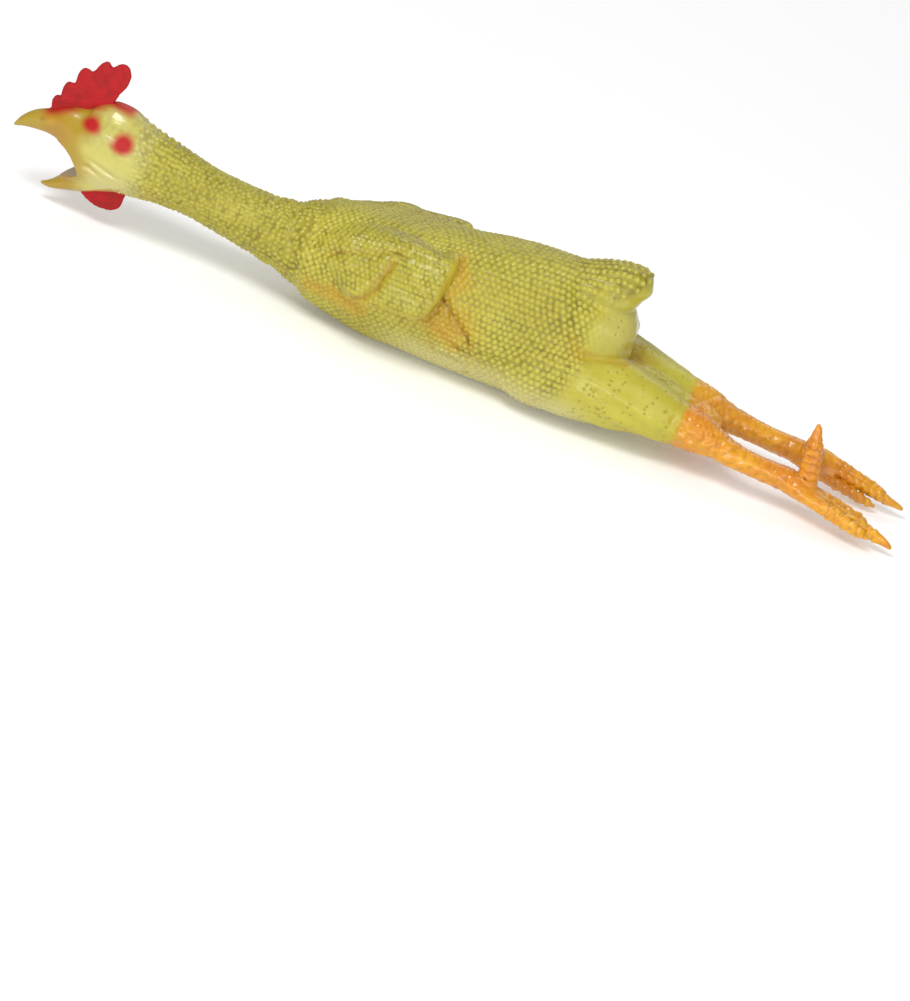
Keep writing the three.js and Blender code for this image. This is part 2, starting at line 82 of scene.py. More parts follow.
def smooth(low: float, high: float, value: Array) -> Array:
    """A smooth step from 0 at low to 1 at high.

    Args:
        low: The value where the step starts.
        high: The value where the step is done.
        value: The values to step.

    Returns:
        The stepped values, from 0 to 1.
    """
    t = np.clip((value - low) / (high - low), 0, 1)
    return t * t * (3 - 2 * t)


def bell(distance: Array, width: float) -> Array:
    """A rounded bump that is 1 at no distance and fades to nothing past its width."""
    return np.exp(-np.square(distance / width))


def ripple(points: Array, size: float, seed: int) -> Array:
    """Soft three-dimensional noise, the same on every run.

    Args:
        points: Points, one to a row.
        size: About how far apart its swellings are.
        seed: A number that picks the pattern.

    Returns:
        The noise at each point, mostly from -1 to 1.
    """
    dice = np.random.default_rng(seed)
    total = np.zeros(len(points))
    waves = 9
    for _ in range(waves):
        direction = dice.normal(size=3)
        direction *= dice.uniform(0.6, 1.5) / np.linalg.norm(direction)
        total += np.sin(points @ direction * (2 * math.pi / size) + dice.uniform(0, 2 * math.pi))
    return total / math.sqrt(waves)


def spline(points: Array, steps: int) -> Array:
    """A smooth curve through the points, in any number of columns.

    Args:
        points: The points or rows of sizes that it passes through.
        steps: How many steps it takes between one point and the next.

    Returns:
        The rows of the curve, the given ones among them.
    """
    rows = np.vstack([2 * points[0] - points[1], points, 2 * points[-1] - points[-2]])
    out = []
    for i in range(1, len(rows) - 2):
        a, b, c, d = rows[i - 1], rows[i], rows[i + 1], rows[i + 2]
        for t in np.arange(steps) / steps:
            bend = (2 * a - 5 * b + 4 * c - d) * t * t + (3 * b - a - 3 * c + d) * t ** 3
            out.append(0.5 * (2 * b + (c - a) * t + bend))
    out.append(points[-1])
    return np.array(out)


def to_line(points: Array, line: Sequence[Sequence[float]]) -> Array:
    """How far each point is from a broken line.

    Args:
        points: Points, one to a row.
        line: The line's corners, with as many numbers as a point has.

    Returns:
        The distance of each point.
    """
    corners = np.asarray(line, float)
    nearest = np.full(len(points), np.inf)
    for start, end in zip(corners[:-1], corners[1:]):
        step = end - start
        length = float(np.linalg.norm(step))
        share = np.clip((points - start) @ step / max(length * length, 1e-9), 0, 1)
        distance = np.linalg.norm(points - start - share[:, None] * step, axis=1)
        nearest = np.minimum(nearest, distance)
    return nearest


def ring_table(rows: Sequence[Sequence[float]], steps: int) -> Array:
    """The rings of a loft and what lies smoothly between them.

    Args:
        rows: Each ring's numbers. Where one is left out, the last one given stands for it.
        steps: Rows of the table from one ring to the next.

    Returns:
        A table with all the columns of a ring.
    """
    full = [list(row) + [row[-1]] * (RING_COLUMNS - len(row)) for row in rows]
    return spline(np.array(full, float), steps)


@dataclass
class Shell:
    """Points in millimetres and the faces between them."""

    points: Array
    faces: list[tuple[int, ...]]

    def mesh(self, name: str) -> bpy.types.Mesh:
        """A Blender mesh of the shell, in metres.

        Args:
            name: The mesh's name.

        Returns:
            The mesh, without a material.
        """
        mesh = bpy.data.meshes.new(name)
        mesh.from_pydata((self.points * MM).tolist(), [], self.faces)
        mesh.update()
        return mesh

    def __add__(self, other: "Shell") -> "Shell":
        """Both shells together, still apart from each other.

        Args:
            other: The shell to add.

        Returns:
            One shell with the faces of both.
        """
        first = len(self.points)
        moved = [tuple(i + first for i in face) for face in other.faces]
        return Shell(np.vstack([self.points, other.points]), self.faces + moved)


def loft(
    rows: Sequence[Sequence[float]], sides: int = 40, steps: int = 6, up: Sequence[float] = (0, 0, 1)
) -> Shell:
    """A closed body of oval rings along a smooth curve.

    Args:
        rows: Each ring's x, y and z, half width, half height above and half height below.
        sides: Corners of a ring.
        steps: Rings from one row to the next.
        up: The direction of a ring's height, where it doesn't lie along the curve.

    Returns:
        The closed shell, with a pole at each end.
    """
    thinnest = 0.25
    table = ring_table(rows, steps)
    middle = table[:, :3]
    sizes = np.maximum(table[:, 3:], thinnest)
    forward = np.gradient(middle, axis=0)
    forward /= np.linalg.norm(forward, axis=1)[:, None]
    across = np.cross(forward, np.array(up, float))
    across /= np.linalg.norm(across, axis=1)[:, None]
    over = np.cross(across, forward)
    turn = np.arange(sides) * 2 * math.pi / sides
    height = np.where(np.sin(turn) > 0, sizes[:, 1:2], sizes[:, 2:3]) * np.sin(turn)
    width = sizes[:, 0:1] * np.cos(turn)
    rings = middle[:, None] + across[:, None] * width[..., None] + over[:, None] * height[..., None]
    count = len(middle)
    points = np.vstack([rings.reshape(-1, 3), middle[0], middle[-1]])
    first, last = count * sides, count * sides + 1
    faces = []
    for k in range(sides):
        n = (k + 1) % sides
        faces.append((first, n, k))
        faces.append((last, (count - 1) * sides + k, (count - 1) * sides + n))
        for i in range(count - 1):
            faces.append((i * sides + k, i * sides + n, (i + 1) * sides + n, (i + 1) * sides + k))
    return Shell(points, faces)


def plate(outline: Array, y: float, thickness: float) -> Shell:
    """A flat plate across y with the given outline in x and z.

    Args:
        outline: Its corners in x and z, in order.
        y: Where its middle is.
        thickness: How thick it is.

    Returns:
        The closed shell.
    """
    count = len(outline)
    near = np.column_stack([outline[:, 0], np.full(count, y - thickness / 2), outline[:, 1]])
    far = near + (0, thickness, 0)
    faces = [tuple(range(count)), tuple(range(2 * count - 1, count - 1, -1))]
    faces += [(i, i + count, (i + 1) % count + count, (i + 1) % count) for i in range(count)]
    return Shell(np.vstack([near, far]), faces)


def arcs(start: tuple[float, float], curves: Sequence[Sequence[float]], steps: int = 10) -> Array:
    """An outline of straight lines and curves.

    Args:
        start: Its first point.
        curves: An end point for a straight line, or a control point and an end point for a curve.
        steps: Points along each curve.

    Returns:
        The outline's points.
    """
    points = [np.array(start, float)]
    for curve in curves:
        end = np.array(curve[-2:], float)
        if len(curve) == 2:
            points.append(end)
            continue
        begin, pull = points[-1], np.array(curve[:2], float)
        for t in np.arange(1, steps + 1) / steps:
            points.append(begin * (1 - t) ** 2 + pull * 2 * t * (1 - t) + end * t * t)
    return np.array(points)


# ---------------------------------------------------------------------------------------------
# Meshes
# ---------------------------------------------------------------------------------------------

def add_object(mesh: bpy.types.Mesh, name: str) -> bpy.types.Object:
    """Puts a mesh in the scene under a name.

    Args:
        mesh: The mesh.
        name: The object's name.

    Returns:
        The object.
    """
    thing = bpy.data.objects.new(name, mesh)
    bpy.context.scene.collection.objects.link(thing)
    return thing


def bake(thing: bpy.types.Object, name: str) -> bpy.types.Mesh:
    """The object's mesh with its modifiers applied. The object itself is removed.

    Args:
        thing: The object with live modifiers.
        name: The new mesh's name.

    Returns:
        The plain mesh.
    """
    bpy.context.view_layer.update()
    graph = bpy.context.evaluated_depsgraph_get()
    mesh = bpy.data.meshes.new_from_object(
        thing.evaluated_get(graph), preserve_all_data_layers=True, depsgraph=graph)
    mesh.name = name
    bpy.data.objects.remove(thing)
    return mesh


def fused(mesh: bpy.types.Mesh, voxel: float, name: str) -> bpy.types.Mesh:
    """Everything in the mesh melted into one even skin, with faces about a voxel wide in millimetres.

    Args:
        mesh: Closed shells that may overlap.
        voxel: The size of a face.
        name: The new mesh's name.

    Returns:
        The skin.
    """
    thing = add_object(mesh, name)
    melt = thing.modifiers.new("melt", "REMESH")
    melt.mode = "VOXEL"
    melt.voxel_size = voxel * MM
    return bake(thing, name)


def carved(mesh: bpy.types.Mesh, cutter: Shell, name: str) -> bpy.types.Mesh:
    """The mesh with the cutter's space taken out of it.

    Args:
        mesh: A closed mesh.
        cutter: The space to take out.
        name: The new mesh's name.

    Returns:
        What is left.
    """
    thing = add_object(mesh, name)
    knife = add_object(cutter.mesh("knife"), "knife")
    cut = thing.modifiers.new("cut", "BOOLEAN")
    cut.operation = "DIFFERENCE"
    cut.solver = "EXACT"
    cut.object = knife
    result = bake(thing, name)
    bpy.data.objects.remove(knife)
    return result


class Clay:
    """A mesh as arrays, in millimetres, so that it can be smoothed and pushed about."""

    def __init__(self, mesh: bpy.types.Mesh) -> None:
        """Reads the mesh's points, edges and normals.

        Args:
            mesh: The mesh, which stays the one that is written to.
        """
        self.mesh = mesh
        count = len(mesh.vertices)
        flat = np.empty(count * 3)
        mesh.vertices.foreach_get("co", flat)
        self.points = flat.reshape(-1, 3) / MM
        pairs = np.empty(len(mesh.edges) * 2, np.int64)
        mesh.edges.foreach_get("vertices", pairs)
        self.edges = pairs.reshape(-1, 2)
        self.degree = np.bincount(self.edges.ravel(), minlength=count).clip(1)

    @property
    def normals(self) -> Array:
        """The direction out of the surface at each point.

        Returns:
            The normals, one to a row.
        """
        self.write()
        flat = np.empty(len(self.points) * 3)
        self.mesh.vertex_normals.foreach_get("vector", flat)
        return flat.reshape(-1, 3)

    def write(self) -> None:
        """Puts the points back into the mesh."""
        self.mesh.vertices.foreach_set("co", (self.points * MM).ravel())
        self.mesh.update()

    def average(self, values: Array) -> Array:
        """The mean of each point's neighbours' values.

        Args:
            values: Numbers for each point, one point to a row.

        Returns:
            The means, in the same rows.
        """
        start, end = self.edges[:, 0], self.edges[:, 1]
        out = np.empty_like(values)
        for k in range(values.shape[1]):
            column = values[:, k]
            ahead = np.bincount(start, column[end], len(values))
            out[:, k] = ahead + np.bincount(end, column[start], len(values))
        return out / self.degree[:, None]

    def relax(self, rounds: int, amount: Array | float = 1.0, keep_volume: bool = True) -> None:
        """Smooths the points.

        Args:
            rounds: How often.
            amount: From 0 to 1, how much each point gives way.
            keep_volume: Push back after each pull, so that thin pieces don't shrink.
        """
        pull, push_back = 0.5, 0.52
        give = np.broadcast_to(np.asarray(amount, float), len(self.points))[:, None]
        for _ in range(rounds):
            self.points = self.points + (self.average(self.points) - self.points) * pull * give
            if keep_volume:
                self.points = self.points - (self.average(self.points) - self.points) * push_back * give

    def push(self, height: Array) -> None:
        """Moves each point out along its normal, in millimetres."""
        self.points = self.points + self.normals * height[:, None]

    def store(self, name: str, values: Array) -> None:
        """Keeps a number for each point on the mesh."""
        layer = self.mesh.attributes.get(name) or self.mesh.attributes.new(name, "FLOAT", "POINT")
        layer.data.foreach_set("value", values.astype(np.float32))

    def read(self, name: str) -> Array:
        """The numbers kept on the mesh under a name.

        Args:
            name: The name.

        Returns:
            One number for each point.
        """
        values = np.empty(len(self.points), np.float32)
        self.mesh.attributes[name].data.foreach_get("value", values)
        return values.astype(float)


# ---------------------------------------------------------------------------------------------
# Nodes, for shapes and for finishes
# ---------------------------------------------------------------------------------------------

class Wire:
    """A node's output that can be used in sums."""

    def __init__(self, tree: "Nodes", socket: bpy.types.NodeSocket) -> None:
        """Holds the socket and the tree that it is in."""
        self.tree = tree
        self.socket = socket

    def _sum(self, operation: str, first: object, second: object) -> "Wire":
        """A Math node on two values."""
        return self.tree.node("ShaderNodeMath", {"operation": operation}, {0: first, 1: second})

    def __add__(self, other: object) -> "Wire":
        """self + other."""
        return self._sum("ADD", self, other)

    __radd__ = __add__

    def __sub__(self, other: object) -> "Wire":
        """self - other."""
        return self._sum("SUBTRACT", self, other)

    def __rsub__(self, other: object) -> "Wire":
        """other - self."""
        return self._sum("SUBTRACT", other, self)

    def __mul__(self, other: object) -> "Wire":
        """self * other."""
        return self._sum("MULTIPLY", self, other)

    __rmul__ = __mul__

    def __truediv__(self, other: object) -> "Wire":
        """self / other."""
        return self._sum("DIVIDE", self, other)

    def __rtruediv__(self, other: object) -> "Wire":
        """other / self."""
        return self._sum("DIVIDE", other, self)

    def __pow__(self, other: object) -> "Wire":
        """self ** other."""
        return self._sum("POWER", self, other)

    def __rpow__(self, other: object) -> "Wire":
        """other ** self."""
        return self._sum("POWER", other, self)

    def sine(self) -> "Wire":
        """The sine of self, in radians."""
        return self.tree.node("ShaderNodeMath", {"operation": "SINE"}, {0: self})

    def cosine(self) -> "Wire":
        """The cosine of self, in radians."""
        return self.tree.node("ShaderNodeMath", {"operation": "COSINE"}, {0: self})

    def clamp(self) -> "Wire":
        """self held between 0 and 1."""
        return self.tree.node("ShaderNodeClamp", {}, {"Value": self})

    def step(self, low: float, high: float) -> "Wire":
        """A smooth step of self from 0 at low to 1 at high.

        Args:
            low: Where the step starts.
            high: Where it is done.

        Returns:
            The stepped wire.
        """
        return self.tree.node(
            "ShaderNodeMapRange", {"interpolation_type": "SMOOTHSTEP"},
            {"Value": self, "From Min": low, "From Max": high},
        )


class Nodes:
    """A node tree that is built by calls."""

    def __init__(self, tree: bpy.types.NodeTree) -> None:
        """Holds an empty tree."""
        self.tree = tree

    def node(self, kind: str, settings: dict, inputs: dict, output: int | str = 0) -> Wire:
        """Adds a node.

        Args:
            kind: The node's type.
            settings: Its own settings, such as a Math node's operation.
            inputs: Values or wires by the socket's name or number.
            output: The output to return.

        Returns:
            The wire from that output.
        """
        made = self.tree.nodes.new(kind)
        for key, value in settings.items():
            setattr(made, key, value)
        for key, value in inputs.items():
            if isinstance(value, Wire):
                self.tree.links.new(value.socket, made.inputs[key])
            else:
                made.inputs[key].default_value = value
        return Wire(self, made.outputs[output])

    def vector(self, x: object, y: object, z: object) -> Wire:
        """A vector from three values."""
        return self.node("ShaderNodeCombineXYZ", {}, {0: x, 1: y, 2: z})

    def parts(self, vector: Wire) -> tuple[Wire, Wire, Wire]:
        """The three values of a vector.

        Args:
            vector: The vector.

        Returns:
            Its x, y and z.
        """
        whole = self.node("ShaderNodeSeparateXYZ", {}, {0: vector})
        made = whole.socket.node
        return tuple(Wire(self, made.outputs[i]) for i in range(3))

    def scaled(self, vector: Wire, scale: object) -> Wire:
        """A vector times a number."""
        return self.node("ShaderNodeVectorMath", {"operation": "SCALE"}, {0: vector, "Scale": scale})

    def mix(self, first: object, second: object, share: object) -> Wire:
        """A colour between two colours."""
        return self.node("ShaderNodeMix", {"data_type": "RGBA"}, {0: share, 6: first, 7: second}, 2)


@dataclass(frozen=True)
class Follicles:
    """Rows of plucked-feather bumps, cast on to a skin from round an axis along x.

    Sizes are in millimetres. Every other row is moved on by half a step. Where the height is
    less than nothing, they are the pits that feathers leave.
    """

    name: str
    start: float
    end: float
    axis_z: float
    around: int
    step: float
    radius: float
    height: float
    mask: str
    sway: float = 0.6
    seed: int = 3

    def values(self) -> dict[str, float | int]:
        """The tree's inputs by name, in metres where they are lengths.

        Returns:
            A whole number for a count, and any other number for a size.
        """
        return {
            "Start": self.start * MM, "End": self.end * MM, "Axis Z": self.axis_z * MM,
            "Step": self.step * MM, "Radius": self.radius * MM, "Height": self.height * MM,
            "Sway": self.sway, "Around": self.around,
            "Along": round((self.end - self.start) / self.step) + 1, "Seed": self.seed,
        }

    def tree(self) -> bpy.types.NodeTree:
        """Builds the node tree, with its sizes as named inputs.

        Returns:
            The tree, which takes a skin and a finish.
        """
        group = bpy.data.node_groups.new("follicles_" + self.name, "GeometryNodeTree")
        group.interface.new_socket("Skin", in_out="INPUT", socket_type="NodeSocketGeometry")
        group.interface.new_socket("Finish", in_out="INPUT", socket_type="NodeSocketMaterial")
        for label, value in self.values().items():
            kind = "NodeSocketInt" if isinstance(value, int) else "NodeSocketFloat"
            group.interface.new_socket(label, in_out="INPUT", socket_type=kind)
        group.interface.new_socket("Skin", in_out="OUTPUT", socket_type="NodeSocketGeometry")
        n = Nodes(group)
        gate = group.nodes.new("NodeGroupInput")
        given = {socket.name: Wire(n, socket) for socket in gate.outputs if socket.name}
        self._raise_bumps(n, given, self._spots(n, given))
        return group

    def _spots(self, n: Nodes, given: dict[str, Wire]) -> Wire:
        """A staggered, slightly uneven lattice of points dropped on to the skin.

        Args:
            n: The tree's nodes.
            given: The tree's inputs by name.

        Returns:
            The points, on the skin.
        """
        far, half = FAR_OUT * MM, 0.5
        grid = n.node("GeometryNodeMeshGrid", {}, {
            "Size X": given["End"] - given["Start"], "Size Y": 2 * math.pi,
            "Vertices X": given["Along"], "Vertices Y": given["Around"] + 1,
        })
        x, turn, _ = n.parts(n.node("GeometryNodeInputPosition", {}, {}))
        rows_on = turn * given["Around"] / (2 * math.pi)
        row = n.node("ShaderNodeMath", {"operation": "ROUND"}, {0: rows_on})
        odd = n.node("ShaderNodeMath", {"operation": "FLOORED_MODULO"}, {0: row, 1: 2.0})
        dice = n.node("FunctionNodeRandomValue", {"data_type": "FLOAT_VECTOR"}, {
            0: (-1.0, -1.0, -1.0), 1: (1.0, 1.0, 1.0), "Seed": given["Seed"]})
        slip_x, slip_turn, _ = n.parts(dice)
        wave = (turn * 3 + x * 90).sine() + (turn * 5 - x * 57).sine()
        place = x + (given["Start"] + given["End"]) * half + odd * given["Step"] * half
        place = place + (wave * 1.1 + slip_x * 0.32) * given["Sway"] * given["Step"]
        angle = turn + slip_turn * 1.4 * given["Sway"] / given["Around"]
        rim = n.vector(place, angle.cosine() * far, given["Axis Z"] + angle.sine() * far)
        lifted = n.node("GeometryNodeSetPosition", {}, {"Geometry": grid, "Position": rim})
        _, here_y, here_z = n.parts(n.node("GeometryNodeInputPosition", {}, {}))
        inward = n.vector(0.0, 0 - here_y, given["Axis Z"] - here_z)
        hit = n.node("GeometryNodeRaycast", {}, {
            "Target Geometry": given["Skin"], "Ray Direction": inward, "Ray Length": far}, "Is Hit")
        missed = n.node("FunctionNodeBooleanMath", {"operation": "NOT"}, {0: hit})
        kept = n.node("GeometryNodeDeleteGeometry", {"domain": "POINT"}, {
            "Geometry": lifted, "Selection": missed})
        spot = Wire(n, hit.socket.node.outputs["Hit Position"])
        return n.node("GeometryNodeSetPosition", {}, {"Geometry": kept, "Position": spot})

    def _raise_bumps(self, n: Nodes, given: dict[str, Wire], spots: Wire) -> None:
        """Raises a rounded bump on the skin at each spot, and keeps its height as an attribute.

        Args:
            n: The tree's nodes.
            given: The tree's inputs by name.
            spots: The bumps' middles.
        """
        near = n.node("GeometryNodeProximity", {"target_element": "POINTS"}, {0: spots}, "Distance")
        reach = 1 - (near / given["Radius"]) ** 2.0
        dome = n.node("ShaderNodeMath", {"operation": "MAXIMUM"}, {0: reach, 1: 0.0}) ** 1.3
        sign = n.node("ShaderNodeMath", {"operation": "SIGN"}, {0: given["Height"]})
        mask, old = (n.node("GeometryNodeInputNamedAttribute", {"data_type": "FLOAT"}, {"Name": name})
                     for name in (self.mask, "bump"))
        up = n.node("GeometryNodeInputNormal", {}, {})
        raised = n.node("GeometryNodeSetPosition", {}, {
            "Geometry": given["Skin"], "Offset": n.scaled(up, dome * mask * given["Height"])})
        marked = n.node("GeometryNodeStoreNamedAttribute", {"data_type": "FLOAT", "domain": "POINT"}, {
            "Geometry": raised, "Name": "bump", "Value": old + dome * mask * sign})
        real = n.node("GeometryNodeRealizeInstances", {}, {"Geometry": marked})
        dressed = n.node("GeometryNodeSetMaterial", {}, {"Geometry": real, "Material": given["Finish"]})
        gate = n.tree.nodes.new("NodeGroupOutput")
        n.tree.links.new(dressed.socket, gate.inputs[0])

    def apply(self, mesh: bpy.types.Mesh, finish: bpy.types.Material) -> bpy.types.Mesh:
        """The mesh with the bumps raised on it.

        Args:
            mesh: The smooth skin, with its mask and an attribute named bump.
            finish: The material that the tree sets.

        Returns:
            The plain mesh that the tree makes.
        """
        group = self.tree()
        thing = add_object(mesh, "plucked")
        rows = thing.modifiers.new("rows", "NODES")
        rows.node_group = group
        values = self.values() | {"Finish": finish}
        for socket in group.interface.items_tree:
            if socket.in_out == "INPUT" and socket.name in values:
                rows[socket.identifier] = values[socket.name]
        return bake(thing, mesh.name)


# ---------------------------------------------------------------------------------------------
# Finishes
# ---------------------------------------------------------------------------------------------

def colour(red: int, green: int, blue: int) -> tuple[float, float, float, float]:
    """A colour given as it looks on a screen, from 0 to 255, as the renderer wants it.

    Args:
        red: The red channel.
        green: The green channel.
        blue: The blue channel.

    Returns:
        The colour in linear light, and solid.
    """
    def linear(level: int) -> float:
        """One channel without the screen's curve."""
        share = level / 255
        return share / 12.92 if share <= 0.04045 else ((share + 0.055) / 1.055) ** 2.4
    return linear(red), linear(green), linear(blue), 1.0


class Slot(Enum):
    """The record's finishes."""

    LATEX = "latex_skin"
    BEAK = "beak_paint"
    RED = "red_paint"
    LEG = "leg_paint"


@dataclass(frozen=True)
class LatexFinish:
    """Glossy moulded latex with colours sprayed on, painted shade in its valleys, pits and creases, and a
    painted highlight on the tops of its bumps.

    The masks on the mesh say what goes where. Colours are as on a screen, from 0 to 255.
    """

    name: str
    pale: Colour = (184, 176, 60)
    deep: Colour = (170, 161, 46)
    # Painted shade: a dark olive for the valleys between the bumps and for the pits, also laid as a flat
    # darker tint on the head's top and the rump.
    shade_and_tint: Colour = (108, 94, 8)
    # Painted highlight: a paler colour for the tops of the bumps.
    bump_highlight: Colour = (196, 190, 90)
    glaze: Colour = (184, 176, 108)
    beak: Colour = (158, 132, 28)
    beak_deep: Colour = (160, 118, 20)
    leg: Colour = (214, 152, 14)
    leg_deep: Colour = (198, 120, 8)
    red: Colour = (164, 4, 9)
    red_deep: Colour = (142, 3, 7)
    # Orange, partly real stains and overspray, partly painted shade in the creases and along the wings'
    # edges.
    stain_and_shade: Colour = (184, 142, 22)
    # Painted shade: a dark brown for the bottoms of creases, the scale grooves and the nostrils.
    dark: Colour = (96, 68, 12)
    roughness: float = 0.4
    specular: float = 0.32
    coat: float = 0.28
    coat_roughness: float = 0.14
    broad_scale: float = 26.0
    fine_scale: float = 240.0
    speck_scale: float = 900.0
    grain: float = 0.35
    grain_depth: float = 0.0004

    def material(self) -> bpy.types.Material:
        """Builds the finish.

        Returns:
            The material.
        """
        made = bpy.data.materials.new(self.name)
        made.use_nodes = True
        made.node_tree.nodes.clear()
        n = Nodes(made.node_tree)
        place = n.node("ShaderNodeTexCoord", {}, {}, "Object")
        broad, fine, speck = (
            n.node("ShaderNodeTexNoise", {}, {"Vector": place, "Scale": scale, "Detail": detail}, 0)
            for scale, detail in ((self.broad_scale, 3.0), (self.fine_scale, 4.0), (self.speck_scale, 2.0)))
        mask = {name: n.node("ShaderNodeAttribute", {"attribute_name": name}, {}, "Fac") for name in MASKS}
        rough = self.roughness + (broad - 0.5) * 0.16 + mask["red"] * 0.14 - mask["glaze"] * 0.2
        coat = (self.coat + mask["glaze"] * 0.7 + mask["leg"] * 0.3) * (1 - mask["red"])
        shader = n.node("ShaderNodeBsdfPrincipled", {}, {
            "Base Color": self._colours(n, broad, fine, mask),
            "Roughness": rough.clamp(),
            "Specular IOR Level": self.specular,
            "Coat Roughness": self.coat_roughness,
            "Coat Weight": coat.clamp(),
            "Normal": self._relief(n, fine, speck),
        }, "BSDF")
        gate = made.node_tree.nodes.new("ShaderNodeOutputMaterial")
        made.node_tree.links.new(shader.socket, gate.inputs["Surface"])
        return made

    def _relief(self, n: Nodes, fine: Wire, speck: Wire) -> Wire:
        """The skin's own fine grain.

        Args:
            n: The material's nodes.
            fine: Noise a few millimetres wide.
            speck: Noise about a millimetre wide.

        Returns:
            The bumped normal.
        """
        height = fine * 0.7 + speck * 0.3
        return n.node("ShaderNodeBump", {}, {
            "Strength": self.grain, "Distance": self.grain_depth, "Height": height}, "Normal")

    def _colours(self, n: Nodes, broad: Wire, fine: Wire, mask: dict[str, Wire]) -> Wire:
        """Lays one colour over another, from the bare latex up.

        Args:
            n: The material's nodes.
            broad: Noise a few centimetres wide.
            fine: Noise a few millimetres wide.
            mask: The masks on the mesh.

        Returns:
            The finished colour.
        """
        skin = n.mix(colour(*self.deep), colour(*self.pale), broad.step(0.3, 0.7))
        # Where the painted shade goes: between the bumps of the plucked skin, and as a flat darker tint where
        # the pluck mask has no bumps.
        shade_and_tint = (1 - mask["bump"] * 1.5).clamp() * mask["pluck"]
        # Painted highlight: the paler colour on the tops of the bumps.
        skin = n.mix(skin, colour(*self.bump_highlight), (mask["bump"] * mask["bump"] * 0.34).clamp())
        skin = n.mix(skin, colour(*self.shade_and_tint), (shade_and_tint * (0.5 + fine.step(0.4, 0.64) * 0.36)).clamp())
        skin = n.mix(skin, colour(*self.glaze), (mask["glaze"] * 0.9).clamp())
        # Painted shade in the pits.
        skin = n.mix(skin, colour(*self.shade_and_tint), ((0 - mask["bump"]) * 0.9).clamp())
        beak = n.mix(colour(*self.beak_deep), colour(*self.beak), broad.step(0.32, 0.6))
        skin = n.mix(skin, beak, mask["beak"].clamp())
        leg = n.mix(colour(*self.leg_deep), colour(*self.leg), (broad * 0.7 + fine * 0.3).step(0.36, 0.58))
        skin = n.mix(skin, leg, mask["leg"].clamp())
        # Orange, partly real stains and overspray, partly painted shade in the creases and along the wings'
        # edges.
        skin = n.mix(skin, colour(*self.stain_and_shade), (mask["stain_and_shade"] * (0.7 + fine * 0.6)).clamp())
        # Painted shade: dark brown in the creases, the scale grooves and the nostrils.
        skin = n.mix(skin, colour(*self.dark), (mask["dark"] * (0.6 + fine * 0.7)).clamp())
        red = n.mix(colour(*self.red_deep), colour(*self.red), (fine * 0.5 + broad * 0.5).step(0.34, 0.56))
        return n.mix(skin, red, mask["red"].clamp())


# ---------------------------------------------------------------------------------------------
# The frame, and pieces on it
# ---------------------------------------------------------------------------------------------

@dataclass
class Layout:
    """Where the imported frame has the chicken: its beak's tip, in metres."""

    origin: Vector
    neck_base: float = 180.15

    @classmethod
    def read(cls) -> "Layout":
        """Finds the tip from the joint at the neck's base, which is neck_base millimetres behind it."""
        place = {joint["name"]: joint["pos_m"] for joint in frame["joints"]}["neck_base_nod"]
        return cls(Vector((Vector(place).x - cls.neck_base * MM, 0, 0)))

    def at(self, x: float, y: float, z: float) -> Vector:
        """A place in millimetres from the beak tip, in the frame's metres."""
        return self.origin + Vector((x, y, z)) * MM


@dataclass
class Piece:
    """One finished piece: what it stands for, and the body that it follows or the two bodies on either side
    of its joint.
    """

    name: str
    nodes: tuple[str, ...]
    slot: Slot
    bodies: tuple[str, ...]
    start: Vector | None = None
    end: Vector | None = None

    def dress(self, mesh: bpy.types.Mesh, layout: Layout) -> None:
        """Puts the piece in its place on the frame.

        Args:
            mesh: Its mesh, still measured from the beak tip.
            layout: The frame's layout.
        """
        mesh.transform(Matrix.Translation(layout.origin))
        mesh.name = self.name
        thing = add_object(mesh, self.name)
        if len(self.bodies) == 2:
            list(self.bodies)
            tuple(self.start)
            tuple(self.end)
            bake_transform(thing)
        else:
            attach(thing, self.bodies[0])
        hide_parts(*self.nodes)
        LOG.info("%s: %d faces, follows %s", self.name, len(mesh.polygons), " and ".join(self.bodies))


